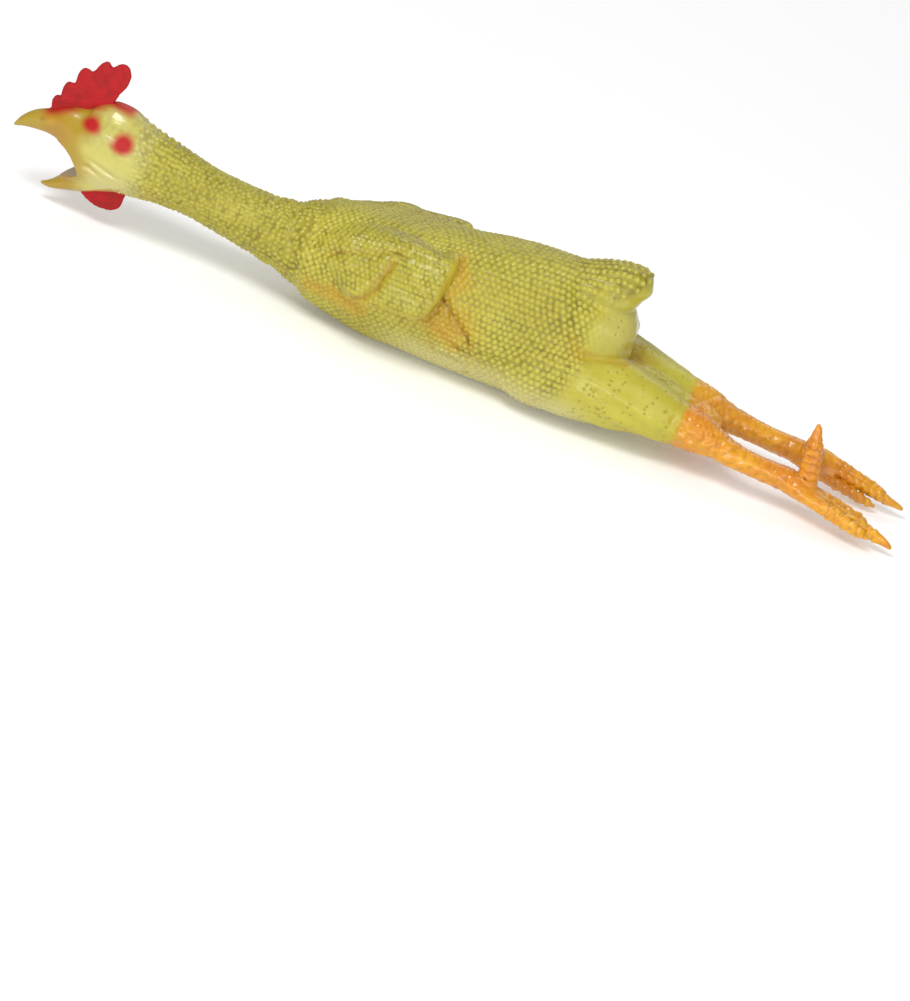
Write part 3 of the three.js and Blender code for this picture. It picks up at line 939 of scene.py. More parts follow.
@dataclass
class Cutter:
    """Divides one finished skin into pieces without a mark where they meet."""

    mesh: bpy.types.Mesh
    finishes: dict[Slot, bpy.types.Material]
    recess: float = 4.0
    points: Array = field(init=False)
    normals: Array = field(init=False)
    faces: Array = field(init=False)
    masks: dict[str, Array] = field(init=False)

    def __post_init__(self) -> None:
        """Reads the whole skin once."""
        clay = Clay(self.mesh)
        self.points = clay.points
        self.normals = clay.normals
        flat = np.empty(len(self.mesh.loops), np.int64)
        self.mesh.loops.foreach_get("vertex_index", flat)
        self.faces = flat.reshape(-1, CORNERS)
        self.masks = {name: clay.read(name) for name in MASKS}

    @property
    def middles(self) -> Array:
        """The middle of each face."""
        return self.points[self.faces].mean(1)

    def piece(self, keep: Array, slot: Slot, name: str) -> bpy.types.Mesh:
        """The faces of one piece, as a closed mesh.

        Args:
            keep: Which faces.
            slot: Its finish.
            name: The mesh's name.

        Returns:
            The mesh, with its open ends closed out of sight.
        """
        faces = self.faces[keep]
        used, flat = np.unique(faces, return_inverse=True)
        mesh = bpy.data.meshes.new(name)
        mesh.from_pydata((self.points[used] * MM).tolist(), [], flat.reshape(-1, CORNERS).tolist())
        for mask, values in self.masks.items():
            layer = mesh.attributes.new(mask, "FLOAT", "POINT")
            layer.data.foreach_set("value", values[used].astype(np.float32))
        close_ends(mesh, self.recess)
        self._shade(mesh, used, len(faces))
        mesh.materials.append(self.finishes[slot])
        return mesh

    def _shade(self, mesh: bpy.types.Mesh, used: Array, outside: int) -> None:
        """Gives the piece the whole skin's normals, and its hidden ends their own.

        Args:
            mesh: The piece's mesh.
            used: Which of the skin's points it has.
            outside: How many of its faces are skin. They come first.
        """
        mesh.polygons.foreach_set("use_smooth", np.ones(len(mesh.polygons), bool))
        corner = np.empty(len(mesh.loops), np.int64)
        mesh.loops.foreach_get("vertex_index", corner)
        flat = np.empty(len(mesh.vertices) * 3)
        mesh.vertex_normals.foreach_get("vector", flat)
        normals = flat.reshape(-1, 3)[corner]
        skin = outside * CORNERS
        normals[:skin] = self.normals[used[corner[:skin]]]
        mesh.normals_split_custom_set(normals.tolist())


def close_ends(mesh: bpy.types.Mesh, recess: float) -> None:
    """Closes a mesh's open ends with shallow cones that point inwards.

    Args:
        mesh: The mesh.
        recess: How deep the cones are, in millimetres.
    """
    work = bmesh.new()
    work.from_mesh(mesh)
    before = set(work.faces)
    bmesh.ops.holes_fill(work, edges=[edge for edge in work.edges if edge.is_boundary], sides=0)
    ends = [face for face in work.faces if face not in before]
    bmesh.ops.poke(work, faces=ends, offset=-recess * MM)
    work.to_mesh(mesh)
    work.free()


# ---------------------------------------------------------------------------------------------
# The moulding: one latex skin from beak to toes
# ---------------------------------------------------------------------------------------------

class Side(Enum):
    """The chicken's left and right."""

    LEFT = -1
    RIGHT = 1

    @property
    def word(self) -> str:
        """The side as it stands in names."""
        return self.name.lower()


@dataclass
class Foot:
    """A foot's own directions, turned inwards by its roll."""

    side: Side
    roll: float
    ankle: Place = (488, 21.6, 18.7)
    reach: tuple[float, ...] = (56, 72, 56)
    root: tuple[float, ...] = (-6, 0, 6)
    tip: tuple[float, ...] = (-7.6, 0, 7.6)
    knuckles: float = 19
    back_along: float = 14
    back_lean: float = 7.3
    back_rise: float = 41
    outwards: Array = field(init=False)
    upwards: Array = field(init=False)
    middle: Array = field(init=False)

    def __post_init__(self) -> None:
        """Works out the directions."""
        turn, side = math.radians(self.roll), self.side.value
        self.outwards = np.array([0, side * math.cos(turn), math.sin(turn)])
        self.upwards = np.array([0, -side * math.sin(turn), math.cos(turn)])
        self.middle = np.array([self.ankle[0], side * self.ankle[1], self.ankle[2]])

    def at(self, along: float, out: float, up: float) -> Array:
        """A place measured along the foot, outwards and upwards."""
        drift = np.array([1, self.side.value * 0.087, -0.173])
        return self.middle + drift * along + self.outwards * out + self.upwards * up

    def ring(self, along: float, out: float, up: float, *sizes: float) -> list[float]:
        """A ring of a loft along the foot."""
        return [*self.at(along, out, up), *sizes]

    def palm(self) -> Shell:
        """The flat of the foot.

        Returns:
            Its shell.
        """
        rows = [self.ring(-4, 0, 0, 6.6, 6.6), self.ring(4, 0, 0.2, 7.6, 7), self.ring(12, 0, 0.3, 8.8, 6.8),
                self.ring(19, 0, 0, 9.6, 5.6), self.ring(27, 0, 0, 8.2, 4.4)]
        return loft(rows, sides=28, steps=5, up=self.upwards)

    def toe(self, number: int) -> Shell:
        """A front toe with its claw: 0 is the inner one.

        Args:
            number: 0 for the inner toe, 1 for the middle one and 2 for the outer one.

        Returns:
            Its shell.
        """
        reach, root, tip = self.reach[number], self.root[number], self.tip[number]
        rows = []
        for share, up, wide, high in ((0, 0, 3, 4.4), (0.28, 0.3, 2.9, 4.3), (0.55, 0.2, 2.7, 4),
                                      (0.78, 0.1, 2.7, 3.6), (0.88, 0, 2.1, 2.8), (0.95, -0.5, 1.6, 1.9),
                                      (1, -1.2, 0.8, 0.9)):
            along = self.knuckles + (reach - self.knuckles) * share
            rows.append(self.ring(along, root + (tip - root) * share, up, wide, high))
        return loft(rows, sides=20, steps=5, up=self.upwards)

    def back_spot(self, share: float) -> Array:
        """A place up the back toe, from the foot's middle to its tip."""
        return self.at(self.back_along - self.back_lean * share, 0, self.back_rise * share)

    @property
    def back_way(self) -> Array:
        """The direction up the back toe."""
        way = self.back_spot(1) - self.back_spot(0)
        return way / np.linalg.norm(way)

    def up_back_toe(self, points: Array) -> tuple[Array, Array]:
        """How far up the back toe each point is, and how far from the toe's middle line.

        Args:
            points: Points, one to a row.

        Returns:
            The height and the distance of each point, in millimetres.
        """
        way, toe = self.back_way, points - self.back_spot(0)
        rise = toe @ way
        return rise, np.linalg.norm(toe - rise[:, None] * way, axis=1)

    def back_toe(self) -> Shell:
        """The back toe, which stands up from the foot.

        Returns:
            Its shell.
        """
        rows = [[*self.back_spot(share), wide, deep] for share, wide, deep in (
            (0.05, 4.6, 6.6), (0.28, 4.4, 5.8), (0.5, 4, 5), (0.7, 3.5, 4.2), (0.82, 2.8, 3.3),
            (0.91, 2.1, 2.4), (0.97, 1.5, 1.7), (1, 0.9, 1))]
        return loft(rows, sides=20, steps=5, up=(1, 0, 0))


@dataclass(frozen=True)
class Crease:
    """A fold pressed into the skin along a line, the same on both sides, in millimetres.

    The last three numbers are how much orange there is, partly a stain and partly painted shade, and how much
    dark brown painted shade lies in the fold, both shares from 0 to 1, and how far they spread from the line.
    """

    line: Line
    depth: float
    width: float
    stain_and_shade: float = 0.0
    dark: float = 0.0
    spread: float = 2.0


@dataclass
class Moulding:
    """The continuous latex skin, in millimetres from the beak tip."""

    feet: tuple[Foot, Foot] = field(default_factory=lambda: (
        Foot(Side.LEFT, roll=0), Foot(Side.RIGHT, roll=50, reach=(55, 72, 61), tip=(-7, 0, 2.2))))
    head_voxel: float = 0.6
    voxel: float = 0.62
    paint_start: float = 421
    axis_z: float = 40
    scales_start: float = 4
    tail_root: Place = (349.8, 0, 82)
    tail_way: Place = (0.76, 0, 0.65)
    tail_seam: float = 1.06
    eye: Place = (43.5, 11, 60.5)
    ear: Place = (64.5, 15.6, 58.2)
    comb_line: Line = ((17.5, 0, 56.9), (30.5, 0, 65.5), (37.5, 0, 70), (51.6, 0, 75.4), (61, 0, 74.4))
    skull: Rows = (
        (17.6, 0, 48, 5.5, 6.8, 8), (28.2, 0, 49.5, 9.8, 13, 16), (37.8, 0, 47, 13.4, 21, 28),
        (50.2, 0, 46, 16, 27.4, 29.6), (61.6, 0, 46.3, 17.5, 27.4, 27.6), (74.8, 0, 45.5, 18, 22, 22.4),
        (93.3, 0, 44.2, 18, 18.2, 18.2))
    upper_beak: Rows = (
        (0.7, 0, 37.2, 0.7, 0.8), (5.3, 0, 41.8, 2.8, 3.2, 4), (11.4, 0, 45.4, 4.8, 5.6, 7),
        (18.5, 0, 48, 6.4, 6.8, 9), (28.2, 0, 50, 8.6, 9.6, 11))
    lower_beak: Rows = (
        (26.6, 0, 9.6, 0.8, 0.8), (32.6, 0, 11.2, 3.4, 2.6), (40.5, 0, 15.4, 6.2, 5.6, 4.4),
        (49.3, 0, 20.6, 9.6, 7, 6.4), (58.1, 0, 27, 12, 8, 8))
    palate: Rows = (
        (7, 0, 39.5, 1.2, 1.6), (17, 0, 41.5, 3.4, 3.2), (29, 0, 41.6, 5.2, 3.6), (39, 0, 36.5, 6.4, 5),
        (50, 0, 31, 6.4, 5), (60, 0, 31, 4, 3))
    trough: Rows = (
        (31, 0, 13.6, 1.4, 1.2), (37, 0, 17.6, 3.4, 2.6), (45, 0, 23.4, 6, 4), (54, 0, 29.5, 6, 5))
    trunk: Rows = (
        (64.25, 0, 46.5, 18.2, 22.5, 23), (88, 0, 44.6, 18, 18.8), (101.3, 0, 43.2, 17, 17),
        (116.5, 0, 41.2, 15.6, 15.6), (131.7, 0, 39.2, 16, 16), (146.9, 0, 37.4, 17, 17),
        (161.2, 0, 36.6, 18.6, 18.6), (175.4, 0, 36.6, 22.5, 22.3), (191, 0, 37, 29.5, 28.9),
        (207.1, 0, 37.2, 33.5, 32.9, 33.5), (227.2, 0, 37.2, 37.5, 35.1, 36.9),
        (251.3, 0, 37.6, 39.5, 37.5, 38.1), (275.5, 0, 39.3, 40, 39.8, 40.8),
        (299.6, 0, 41.1, 40.6, 42.6, 42.6), (323.7, 0, 42.5, 39, 45, 44), (343.8, 0, 44.5, 36, 44.6, 45),
        (359.5, 0, 51, 29, 35, 42), (371, 0, 55, 20.5, 22.5, 32), (378.4, 0, 56, 10, 11, 14))
    leg: Rows = (
        (303.6, 18, 29, 10), (319.3, 19, 28, 20.6), (340.6, 19.4, 27.4, 23.8), (363.4, 19, 27.6, 22.4),
        (384.8, 18.4, 27.6, 19.8), (404.7, 18, 26.6, 16.4), (420.4, 18, 25.2, 13.2), (431, 18.4, 24, 12.6),
        (440, 19.4, 22.9, 10), (447, 20.4, 22, 8.3), (451.9, 21.8, 21.1, 7.8), (462.8, 22.2, 19.9, 7),
        (475.4, 21.9, 19.1, 6.8), (491.4, 21.6, 18.7, 7.2))
    web: Rows = (
        (372, 0, 27, 14, 16), (392, 0, 27, 14, 15), (408, 0, 26, 13.4, 12.6), (422, 0, 24.4, 14, 10),
        (431, 0, 23.6, 13.6, 9.6), (438, 0, 23, 12.8, 8), (443, 0, 22.4, 11.4, 5))
    creases: tuple[Crease, ...] = (
        Crease(((267, 38, 52), (290, 40, 34), (294, 36, 26), (295, 25, 9)), 1.4, 2.0, 0.5, 0.8, 1.8),
        Crease(((262, 39, 40), (272, 39.5, 44), (284, 40, 37)), 1.2, 4.5, 0.7, 0.25, 6.0),
        Crease(((270, 22, 71), (273.6, 36, 63.5), (268, 39, 52), (263, 40, 38)), 1.0, 2.6, 0.7, 0.2, 3.4),
        Crease(((266, 38, 36), (274, 38, 33), (284, 36, 28)), 0.9, 3.4, 0.9, 0.42, 3.6),
        Crease(((192, 30, 24), (202, 33, 25.5), (215, 36, 26.5), (226, 36.5, 24)), 1.2, 2.2, 0.75, 0.25, 3.6),
        Crease(((262, 38, 37), (268, 37, 28), (272, 33, 18)), 1.2, 2.0, 0.3, 0.2, 2.4),
        Crease(((346, 35, 56), (352, 32, 50), (364, 27, 47), (376, 21, 47), (386, 6, 42), (388, 0, 40)),
               1.0, 2.8, 0.42, 0.08, 2.8),
        Crease(((285, 38, 26), (305, 38, 22), (331, 34, 18)), 2.0, 1.8, 0.1),
        Crease(((279, 34, 18), (303, 34, 13), (327, 30, 8)), 2.0, 1.8, 0.1),
        Crease(((300, 38, 19), (318, 36, 17), (334, 33, 14)), 1.0, 1.5),
        Crease(((296, 37, 30), (318, 37, 28), (338, 35, 27)), 1.0, 2.0),
        Crease(((49, 15, 36), (60, 16.5, 32), (76, 17.5, 31)), 1.1, 1.5, 0.15),
        Crease(((50, 15.5, 31), (62, 16, 26.5), (78, 15, 28)), 1.0, 1.4, 0.15),
        Crease(((48, 14, 41), (58, 16, 38), (70, 17, 35)), 0.7, 1.3),
        Crease(((52, 15, 41), (66, 17, 37), (82, 17.5, 36)), 0.5, 1.3),
        Crease(((84, 17, 37), (98, 16, 32), (112, 13, 33)), 0.5, 1.4, 0.1),
        Crease(((82, 14, 31), (98, 12, 30.5), (110, 8, 29)), 0.6, 1.5, 0.1),
        Crease(((416, 30, 30), (430, 31.5, 24), (440, 30, 17)), 0.7, 2.0, 0.3),
        Crease(((424, 5, 35), (438, 18, 36), (452, 22, 29)), 0.6, 2.2, 0.2),
    )
    smooth_skin: BVHTree = field(init=False)

    def build(self, finish: bpy.types.Material) -> bpy.types.Mesh:
        """Makes the whole skin, and keeps it as it was before the follicles for the wings to lie on.

        Args:
            finish: The material that the follicles' tree sets.

        Returns:
            The finished skin, with its masks.
        """
        clay = Clay(fused(self._rough(), self.voxel, "skin"))
        self._settle(clay)
        self._fold(clay)
        self._paint(clay, self._scales(clay))
        clay.write()
        mesh = clay.mesh
        self.smooth_skin = BVHTree.FromPolygons(
            clay.points.tolist(), [tuple(face.vertices) for face in mesh.polygons])
        for rows in self._follicles():
            mesh = rows.apply(mesh, finish)
        rested = Clay(mesh)
        rested.points[:, 2] = np.maximum(rested.points[:, 2], 0)
        rested.write()
        return mesh

    def _follicles(self) -> tuple[Follicles, ...]:
        """The neck's small pebbles, the body's diagonal rows, and the pits of the plain skin.

        Returns:
            The three fields, in the order in which they are raised.
        """
        return (
            Follicles("neck", start=66, end=196, axis_z=self.axis_z, around=42, step=3.0, radius=1.48,
                      height=1.1, mask="pluck_neck", sway=1.0, seed=5),
            Follicles("body", start=176, end=400, axis_z=self.axis_z, around=76, step=3.7, radius=1.85,
                      height=1.15, mask="pluck_body", sway=0.35, seed=8),
            Follicles("pits", start=180, end=430, axis_z=34, around=52, step=4.9, radius=1.0,
                      height=-0.6, mask="pits", sway=1.5, seed=2),
        )

    def _rough(self) -> bpy.types.Mesh:
        """The lofted parts, with the mouth cut out of the head.

        Returns:
            The mesh, whose parts still overlap.
        """
        head = loft(self.skull) + loft(self.upper_beak, sides=28) + loft(self.lower_beak, sides=28)
        mesh = fused(head.mesh("head"), self.head_voxel, "head")
        for cutter in (plate(self._mouth(), y=0, thickness=80), loft(self.palate, sides=20, steps=4),
                       loft(self.trough, sides=20, steps=4)):
            mesh = carved(mesh, cutter, "head")
        rest = loft(self.trunk, sides=64) + loft(self.web, sides=32)
        for foot in self.feet:
            side = foot.side.value
            rest += loft([(x, side * y, z, r, r) for x, y, z, r in self.leg])
            rest += foot.palm() + foot.toe(0) + foot.toe(1) + foot.toe(2) + foot.back_toe()
        rest += self._tail()
        work = bmesh.new()
        work.from_mesh(mesh)
        work.from_mesh(rest.mesh("rest"))
        work.to_mesh(mesh)
        work.free()
        return mesh

    @staticmethod
    def _mouth() -> Array:
        """The open mouth, seen from the side.

        Returns:
            The outline in x and z.
        """
        middle, radius = np.array([25.5, 24]), 17.7
        turns = np.linspace(0.86, math.pi / 2, 9)[:, None]
        roof = middle + radius * np.hstack([np.cos(turns), np.sin(turns)])
        corner = arcs((46.2, 26.4), [(43, 32, *roof[0])], 8)
        tip = arcs(tuple(roof[-1]), [(8.8, 42, -1.8, 34.6), (-18, 34), (-18, 14), (22, 8)], 8)
        return np.vstack([corner[:-1], roof, tip[1:]])

    def off_trunk(self, points: Array) -> Array:
        """How far each point is from the trunk's middle, where 1 is on its surface and less is inside.

        Args:
            points: Points, one to a row.

        Returns:
            One number for each point.
        """
        rows = ring_table(self.trunk, 6)
        middle, wide, up, down = (np.interp(points[:, 0], rows[:, 0], rows[:, k]) for k in (2, 3, 4, 5))
        rise = points[:, 2] - middle
        return np.hypot(points[:, 1] / wide, rise / np.where(rise > 0, up, down))

    @staticmethod
    def _tail() -> Shell:
        """The tail stump: its top carries the back's line on upwards and its end drops to the vent.

        Returns:
            Its shell.
        """
        rows = [(324, 0, 64, 22, 18, 18), (337, 0, 71, 22, 17.6, 19), (349, 0, 78, 19.6, 15.6, 19),
                (359, 0, 84, 16.6, 13, 17), (366.4, 0, 88.8, 13.6, 10, 13.4), (371.6, 0, 92.4, 10, 6.6, 9),
                (374.4, 0, 94.6, 5, 2.8, 4)]
        return loft(rows)

    def _settle(self, clay: Clay) -> None:
        """Rounds off where parts meet, most of all on the body, and rests the belly flat.

        Args:
            clay: The skin.
        """
        x, _, z = clay.points.T
        body = smooth(70, 100, x) * (1 - smooth(430, 450, x))
        feet = smooth(440, 470, x)
        give = 0.35 + 0.65 * body
        clay.relax(8, np.clip(give + 0.2 * feet, 0, 1))
        joint = np.maximum(bell(x - 340, 36), bell(x - 404, 22)) * (1 - smooth(58, 72, z))
        clay.relax(26, np.clip(joint * body, 0, 1), keep_volume=False)
        clay.relax(10, body)
        x, _, z = clay.points.T
        seam = bell(self.off_trunk(clay.points) - self.tail_seam, 0.2)
        rump = seam * smooth(322, 336, x) * (1 - smooth(370, 380, x)) * smooth(58, 68, z)
        clay.relax(50, np.clip(rump, 0, 1), keep_volume=False)
        z = clay.points[:, 2]
        clay.points[:, 2] = 0.5 * (z + np.sqrt(z * z + 1))

    @staticmethod
    def _mirrored(points: Array) -> Array:
        """The points folded over to one side."""
        return points * (1, 0, 1) + np.abs(points) * (0, 1, 0)

    def _fold(self, clay: Clay) -> None:
        """Presses in the creases and raises the soft rolls between them.

        Args:
            clay: The skin.
        """
        points = self._mirrored(clay.points)
        wobble = ripple(clay.points, 24, 4)
        height = np.zeros(len(points))
        stain_and_shade = np.zeros(len(points))
        dark = np.zeros(len(points))
        for crease in self.creases:
            distance = to_line(points, crease.line)
            roll = bell(distance - crease.width * 2.2, crease.width)
            height -= crease.depth * bell(distance, crease.width * (1 + 0.25 * wobble))
            height += crease.depth * 0.22 * roll * (1 + 0.6 * wobble)
            wide = crease.spread * 1.5 * (1 + 0.3 * wobble)
            # Along each crease: orange, partly a stain and partly painted shade, and a narrower dark brown
            # painted shade in its bottom.
            stain_and_shade = np.maximum(stain_and_shade, crease.stain_and_shade * bell(distance, wide))
            dark = np.maximum(dark, crease.dark * bell(distance, crease.spread * 0.7))
        x = clay.points[:, 0]
        body = smooth(90, 190, x) * (1 - smooth(400, 430, x))
        height += 0.5 * body * ripple(clay.points, 46, 7) + 0.22 * ripple(clay.points, 16, 9) * body
        height += self._rolls(clay.points)
        clay.push(height)
        clay.store("stain_and_shade", stain_and_shade)
        clay.store("dark", dark)

    @staticmethod
    def _rolls(points: Array) -> Array:
        """Soft folds where the neck starts, along the thighs and behind the hocks.

        Args:
            points: The skin's points.

        Returns:
            How far each point is pushed out.
        """
        x, y, z = points.T
        neck = bell(x - 180, 26) * np.sin((x + 0.35 * z) * 0.42) * 0.5
        thigh = bell(x - 392, 30) * np.sin((z + 0.28 * x) * 0.5 + 0.4 * np.sin(y * 0.3)) * 0.55
        hock = bell(x - 432, 16) * (0.3 * ripple(points, 7, 51) + 0.25 * ripple(points, 3.4, 52))
        return neck + thigh + hock

    def _scales(self, clay: Clay) -> Array:
        """Raises scales on the shanks and rings round the toes, and returns how high they stand.

        Args:
            clay: The skin.

        Returns:
            How high the scales stand at each point.
        """
        points = clay.points
        x, y, z = points.T
        height = np.zeros(len(points))
        shank = smooth(432, 446, x) * (1 - smooth(496, 506, x))
        leg = np.interp(x, [row[0] for row in self.leg], [row[1] for row in self.leg])
        over = bell(np.abs(y) - leg, 3.6) * smooth(16, 22, z)
        lumps = ripple(points, 5.5, 61)
        height += shank * over * (0.5 * np.abs(np.sin(x * math.pi / 3.1 + 0.5 * lumps)) - 0.18)
        height += shank * (1 - over) * 0.22 * lumps
        for foot in self.feet:
            mine = y * foot.side.value > 0
            along = x - foot.ankle[0]
            rise, aside = foot.up_back_toe(points)
            rise = rise - self.scales_start
            back = (rise > 3) & (aside < 7)
            toes = mine & ~back & (along > 22)
            ring = 0.75 * np.abs(np.sin(along * math.pi / 4.9 + 0.7 * lumps)) - 0.28 + 0.35 * lumps
            height += np.where(toes, ring * smooth(22, 32, along) * (1 - smooth(58, 66, along)), 0)
            ring = 0.9 * np.abs(np.sin(rise * math.pi / 4.8 + 0.6 * lumps)) - 0.3 + 0.4 * lumps
            height += np.where(back, ring * smooth(3, 8, rise) * (1 - smooth(28, 33, rise)), 0)
        clay.push(height)
        return height

    def _paint(self, clay: Clay, scales: Array) -> None:
        """Works out where each colour goes and where the skin has follicles.

        Args:
            clay: The skin.
            scales: How high the scales stand at each point.
        """
        points = self._mirrored(clay.points)
        x, _, z = clay.points.T
        wobble = ripple(clay.points, 14, 21)
        broad = ripple(clay.points, 60, 22)
        mouth = to_line(points, ((46, 12, 26), (46, 12, 38)))
        behind = 44 + (z - 44) * -0.12 + wobble * 2
        beak = 1 - smooth(-6, 8, x - behind)
        beak = np.maximum(beak, 0.8 * bell(mouth, 5))
        clay.store("beak", beak)
        clay.store("leg", smooth(-2.2, 2.2, x - self.paint_start - wobble * 1.6 - 0.1 * (z - 24)))
        red = np.zeros(len(points))
        for spot, size in ((self.eye, 6.2), (self.ear, 6.0)):
            distance = np.linalg.norm(points - np.array(spot), axis=1)
            red = np.maximum(red, 1 - smooth(size - 3.6, size + 3, distance + wobble * 1.1))
        crown = to_line(points * (1, 0.55, 1), self.comb_line)
        red = np.maximum(red, 0.95 * (1 - smooth(1.8, 8.4, crown + wobble)))
        chin = to_line(points * (1, 0.8, 1), ((50, 4, 18.5), (73, 4, 24)))
        red = np.maximum(red, 0.7 * (1 - smooth(1.2, 3.6, chin)))
        clay.store("red", red)
        clay.store("stain_and_shade", np.maximum(clay.read("stain_and_shade"), self._stains(clay.points, wobble)))
        clay.store("dark", np.maximum(clay.read("dark"), self._groove_shade(clay.points, scales)))
        clay.store("glaze", np.clip(self._gloss(points), 0, 1))
        self._pluck(clay, points, broad)

    def _stains(self, points: Array, wobble: Array) -> Array:
        """The orange wash under the tail, between the thighs and at the beak's root.

        Args:
            points: The skin's points.
            wobble: Noise that makes the edges uneven.

        Returns:
            The wash at each point, from 0 to 1.
        """
        x, y, z = points.T
        vent = bell(x - 384, 10) * bell(z - 44, 7) * bell(y, 12)
        nostril = bell(np.linalg.norm(self._mirrored(points) - (20, 5.5, 52), axis=1), 3)
        leg = smooth(410, 424, x) * (0.35 + 0.25 * wobble) * (1 - smooth(424, 430, x))
        return np.clip(0.7 * vent + 0.6 * nostril + leg, 0, 1)

    def _groove_shade(self, points: Array, scales: Array) -> Array:
        """Painted shade, a dark brown, in the grooves between the scales and on the nostrils.

        Args:
            points: The skin's points.
            scales: How high the scales stand at each point.

        Returns:
            The painted shade at each point, from 0 to 1.
        """
        nostril = bell(np.linalg.norm(self._mirrored(points) - (15.5, 4.6, 49), axis=1), 1.3)
        lines = smooth(0.02, -0.3, scales) * smooth(430, 445, points[:, 0])
        return np.clip(0.8 * nostril + 0.24 * lines, 0, 1)

    @staticmethod
    def _gloss(points: Array) -> Array:
        """The smooth shiny head, belly and vent.

        Args:
            points: The skin's points, folded over to one side.

        Returns:
            The gloss at each point, where 1 is the most.
        """
        x, _, z = points.T
        belly = smooth(30, 10, z) * smooth(225, 270, x) * (1 - smooth(350, 380, x))
        cheek = bell(x - 62, 17) * bell(z - 31, 9)
        crown = bell(x - 58, 10) * bell(z - 70, 5)
        vent = bell(x - 368, 16) * bell(z - 66, 14) * smooth(350, 360, x)
        head = 0.46 * (1 - smooth(72, 88, x))
        return np.maximum(0.9 * belly + 0.5 * vent, head + 0.54 * cheek + 0.1 * crown)

    def _pluck(self, clay: Clay, points: Array, broad: Array) -> None:
        """Where each field of follicles shows, and how strongly.

        Args:
            clay: The skin.
            points: Its points, folded over to one side.
            broad: Noise that makes the bumps uneven in height.
        """
        x, y, z = points.T
        round_the_side = np.arctan2(z - self.axis_z, y)
        head_edge = x - 74 + 0.25 * np.abs(z - 46)
        neck = smooth(-4, 8, head_edge) * (1 - smooth(180, 192, x))
        back = smooth(0.9, 1.45, round_the_side)
        belly = smooth(-0.75, -1.2, round_the_side)
        body = smooth(180, 192, x) * (1 - smooth(352, 368, x + 0.3 * (60 - z)))
        # More of the dark olive on the back: deeper painted shade between its bumps.
        darker_tint = 0.3 * body * back
        body = body * (1 - 0.4 * back) * (1 - 0.72 * belly * smooth(230, 260, x))
        vent = smooth(346, 358, x) * smooth(44, 52, z)
        body = body * (1 - 0.85 * vent)
        way, root = np.array(self.tail_way), clay.points - np.array(self.tail_root)
        out, above = root @ way, root @ (-way[2], 0, way[0])
        tail = smooth(2, 8, out) * smooth(72, 80, z)
        body = np.maximum(body, 0.85 * tail * smooth(-13, -5, above))
        plain = smooth(346, 362, x + 0.3 * (60 - z)) * (1 - smooth(412, 424, x)) * (1 - tail)
        under = belly * smooth(180, 200, x) * (1 - smooth(340, 360, x))
        pits = (0.9 * plain + 0.7 * under) * smooth(-0.8, 0.4, ripple(clay.points, 17, 72))
        neck, body, pits = (np.clip(value * (0.92 + 0.12 * broad), 0, 1) for value in (neck, body, pits))
        clay.store("pluck_neck", neck)
        clay.store("pluck_body", body)
        clay.store("pits", pits)
        # A flat darker tint of the same olive on the head's top, and a light one on the rump and thighs.
        darker_tint = darker_tint + (1 - smooth(68, 84, x)) * smooth(42, 56, z) * (0.5 + 0.2 * ripple(clay.points, 5, 71))
        darker_tint = darker_tint + 0.16 * plain
        # The pluck mask says how much dark olive goes on: painted shade between the bumps, and a flat tint
        # where there are none.
        clay.store("pluck", np.clip(neck + body + darker_tint, 0, 1))
        clay.store("bump", np.zeros(len(points)))


# ---------------------------------------------------------------------------------------------
# What hangs on the moulding
# ---------------------------------------------------------------------------------------------

@dataclass
class Fin:
    """A soft red fin: the comb or a wattle."""

    name: str
    outline: Array
    y: float = 0.0
    thickness: float = 4.6
    base_z: float = 66.0
    tip_z: float = 100.0
    thin: float = 0.6
    voxel: float = 0.55

    def build(self, finish: bpy.types.Material) -> bpy.types.Mesh:
        """Makes the fin.

        Args:
            finish: Its material.

        Returns:
            The mesh, from the beak tip.
        """
        flat = plate(self.outline, self.y, self.thickness).mesh(self.name)
        clay = Clay(fused(flat, self.voxel, self.name))
        clay.relax(14, 1.0, keep_volume=False)
        _, y, z = clay.points.T
        share = np.clip((z - self.base_z) / (self.tip_z - self.base_z), 0, 1)
        taper = 1 + (self.thin - 1) * share
        clay.points[:, 1] = self.y + (y - self.y) * taper
        grain = 0.35 * ripple(clay.points, 7, 31) + 0.25 * ripple(clay.points, 3.2, 32)
        clay.push(0.32 * grain)
        clay.write()
        for name in MASKS:
            clay.store(name, np.full(len(clay.points), float(name in ("red", "bump"))))
        clay.mesh.polygons.foreach_set("use_smooth", np.ones(len(clay.mesh.polygons), bool))
        clay.mesh.materials.append(finish)
        return clay.mesh


def comb_outline() -> Array:
    """Five rounded lobes that grow towards the back.

    Returns:
        The outline in x and z.
    """
    return arcs((17.2, 50), [
        (17.4, 57), (14.6, 64.2, 20.4, 64.4), (18.6, 77.6, 25.4, 74.4), (24.2, 91, 33, 85.4),
        (38.4, 101.8, 42.6, 91.6), (46.6, 101, 52.6, 95.6), (57.4, 90.2, 52.2, 80), (50, 69), (35.2, 58)], 14)


def wattle_outline() -> Array:
    """A rounded flap under the chin."""
    return arcs((49.8, 25), [(49.4, 17), (55.2, 10.4, 65.2, 10.6), (74.4, 11, 75, 17), (75.6, 29)], 14)


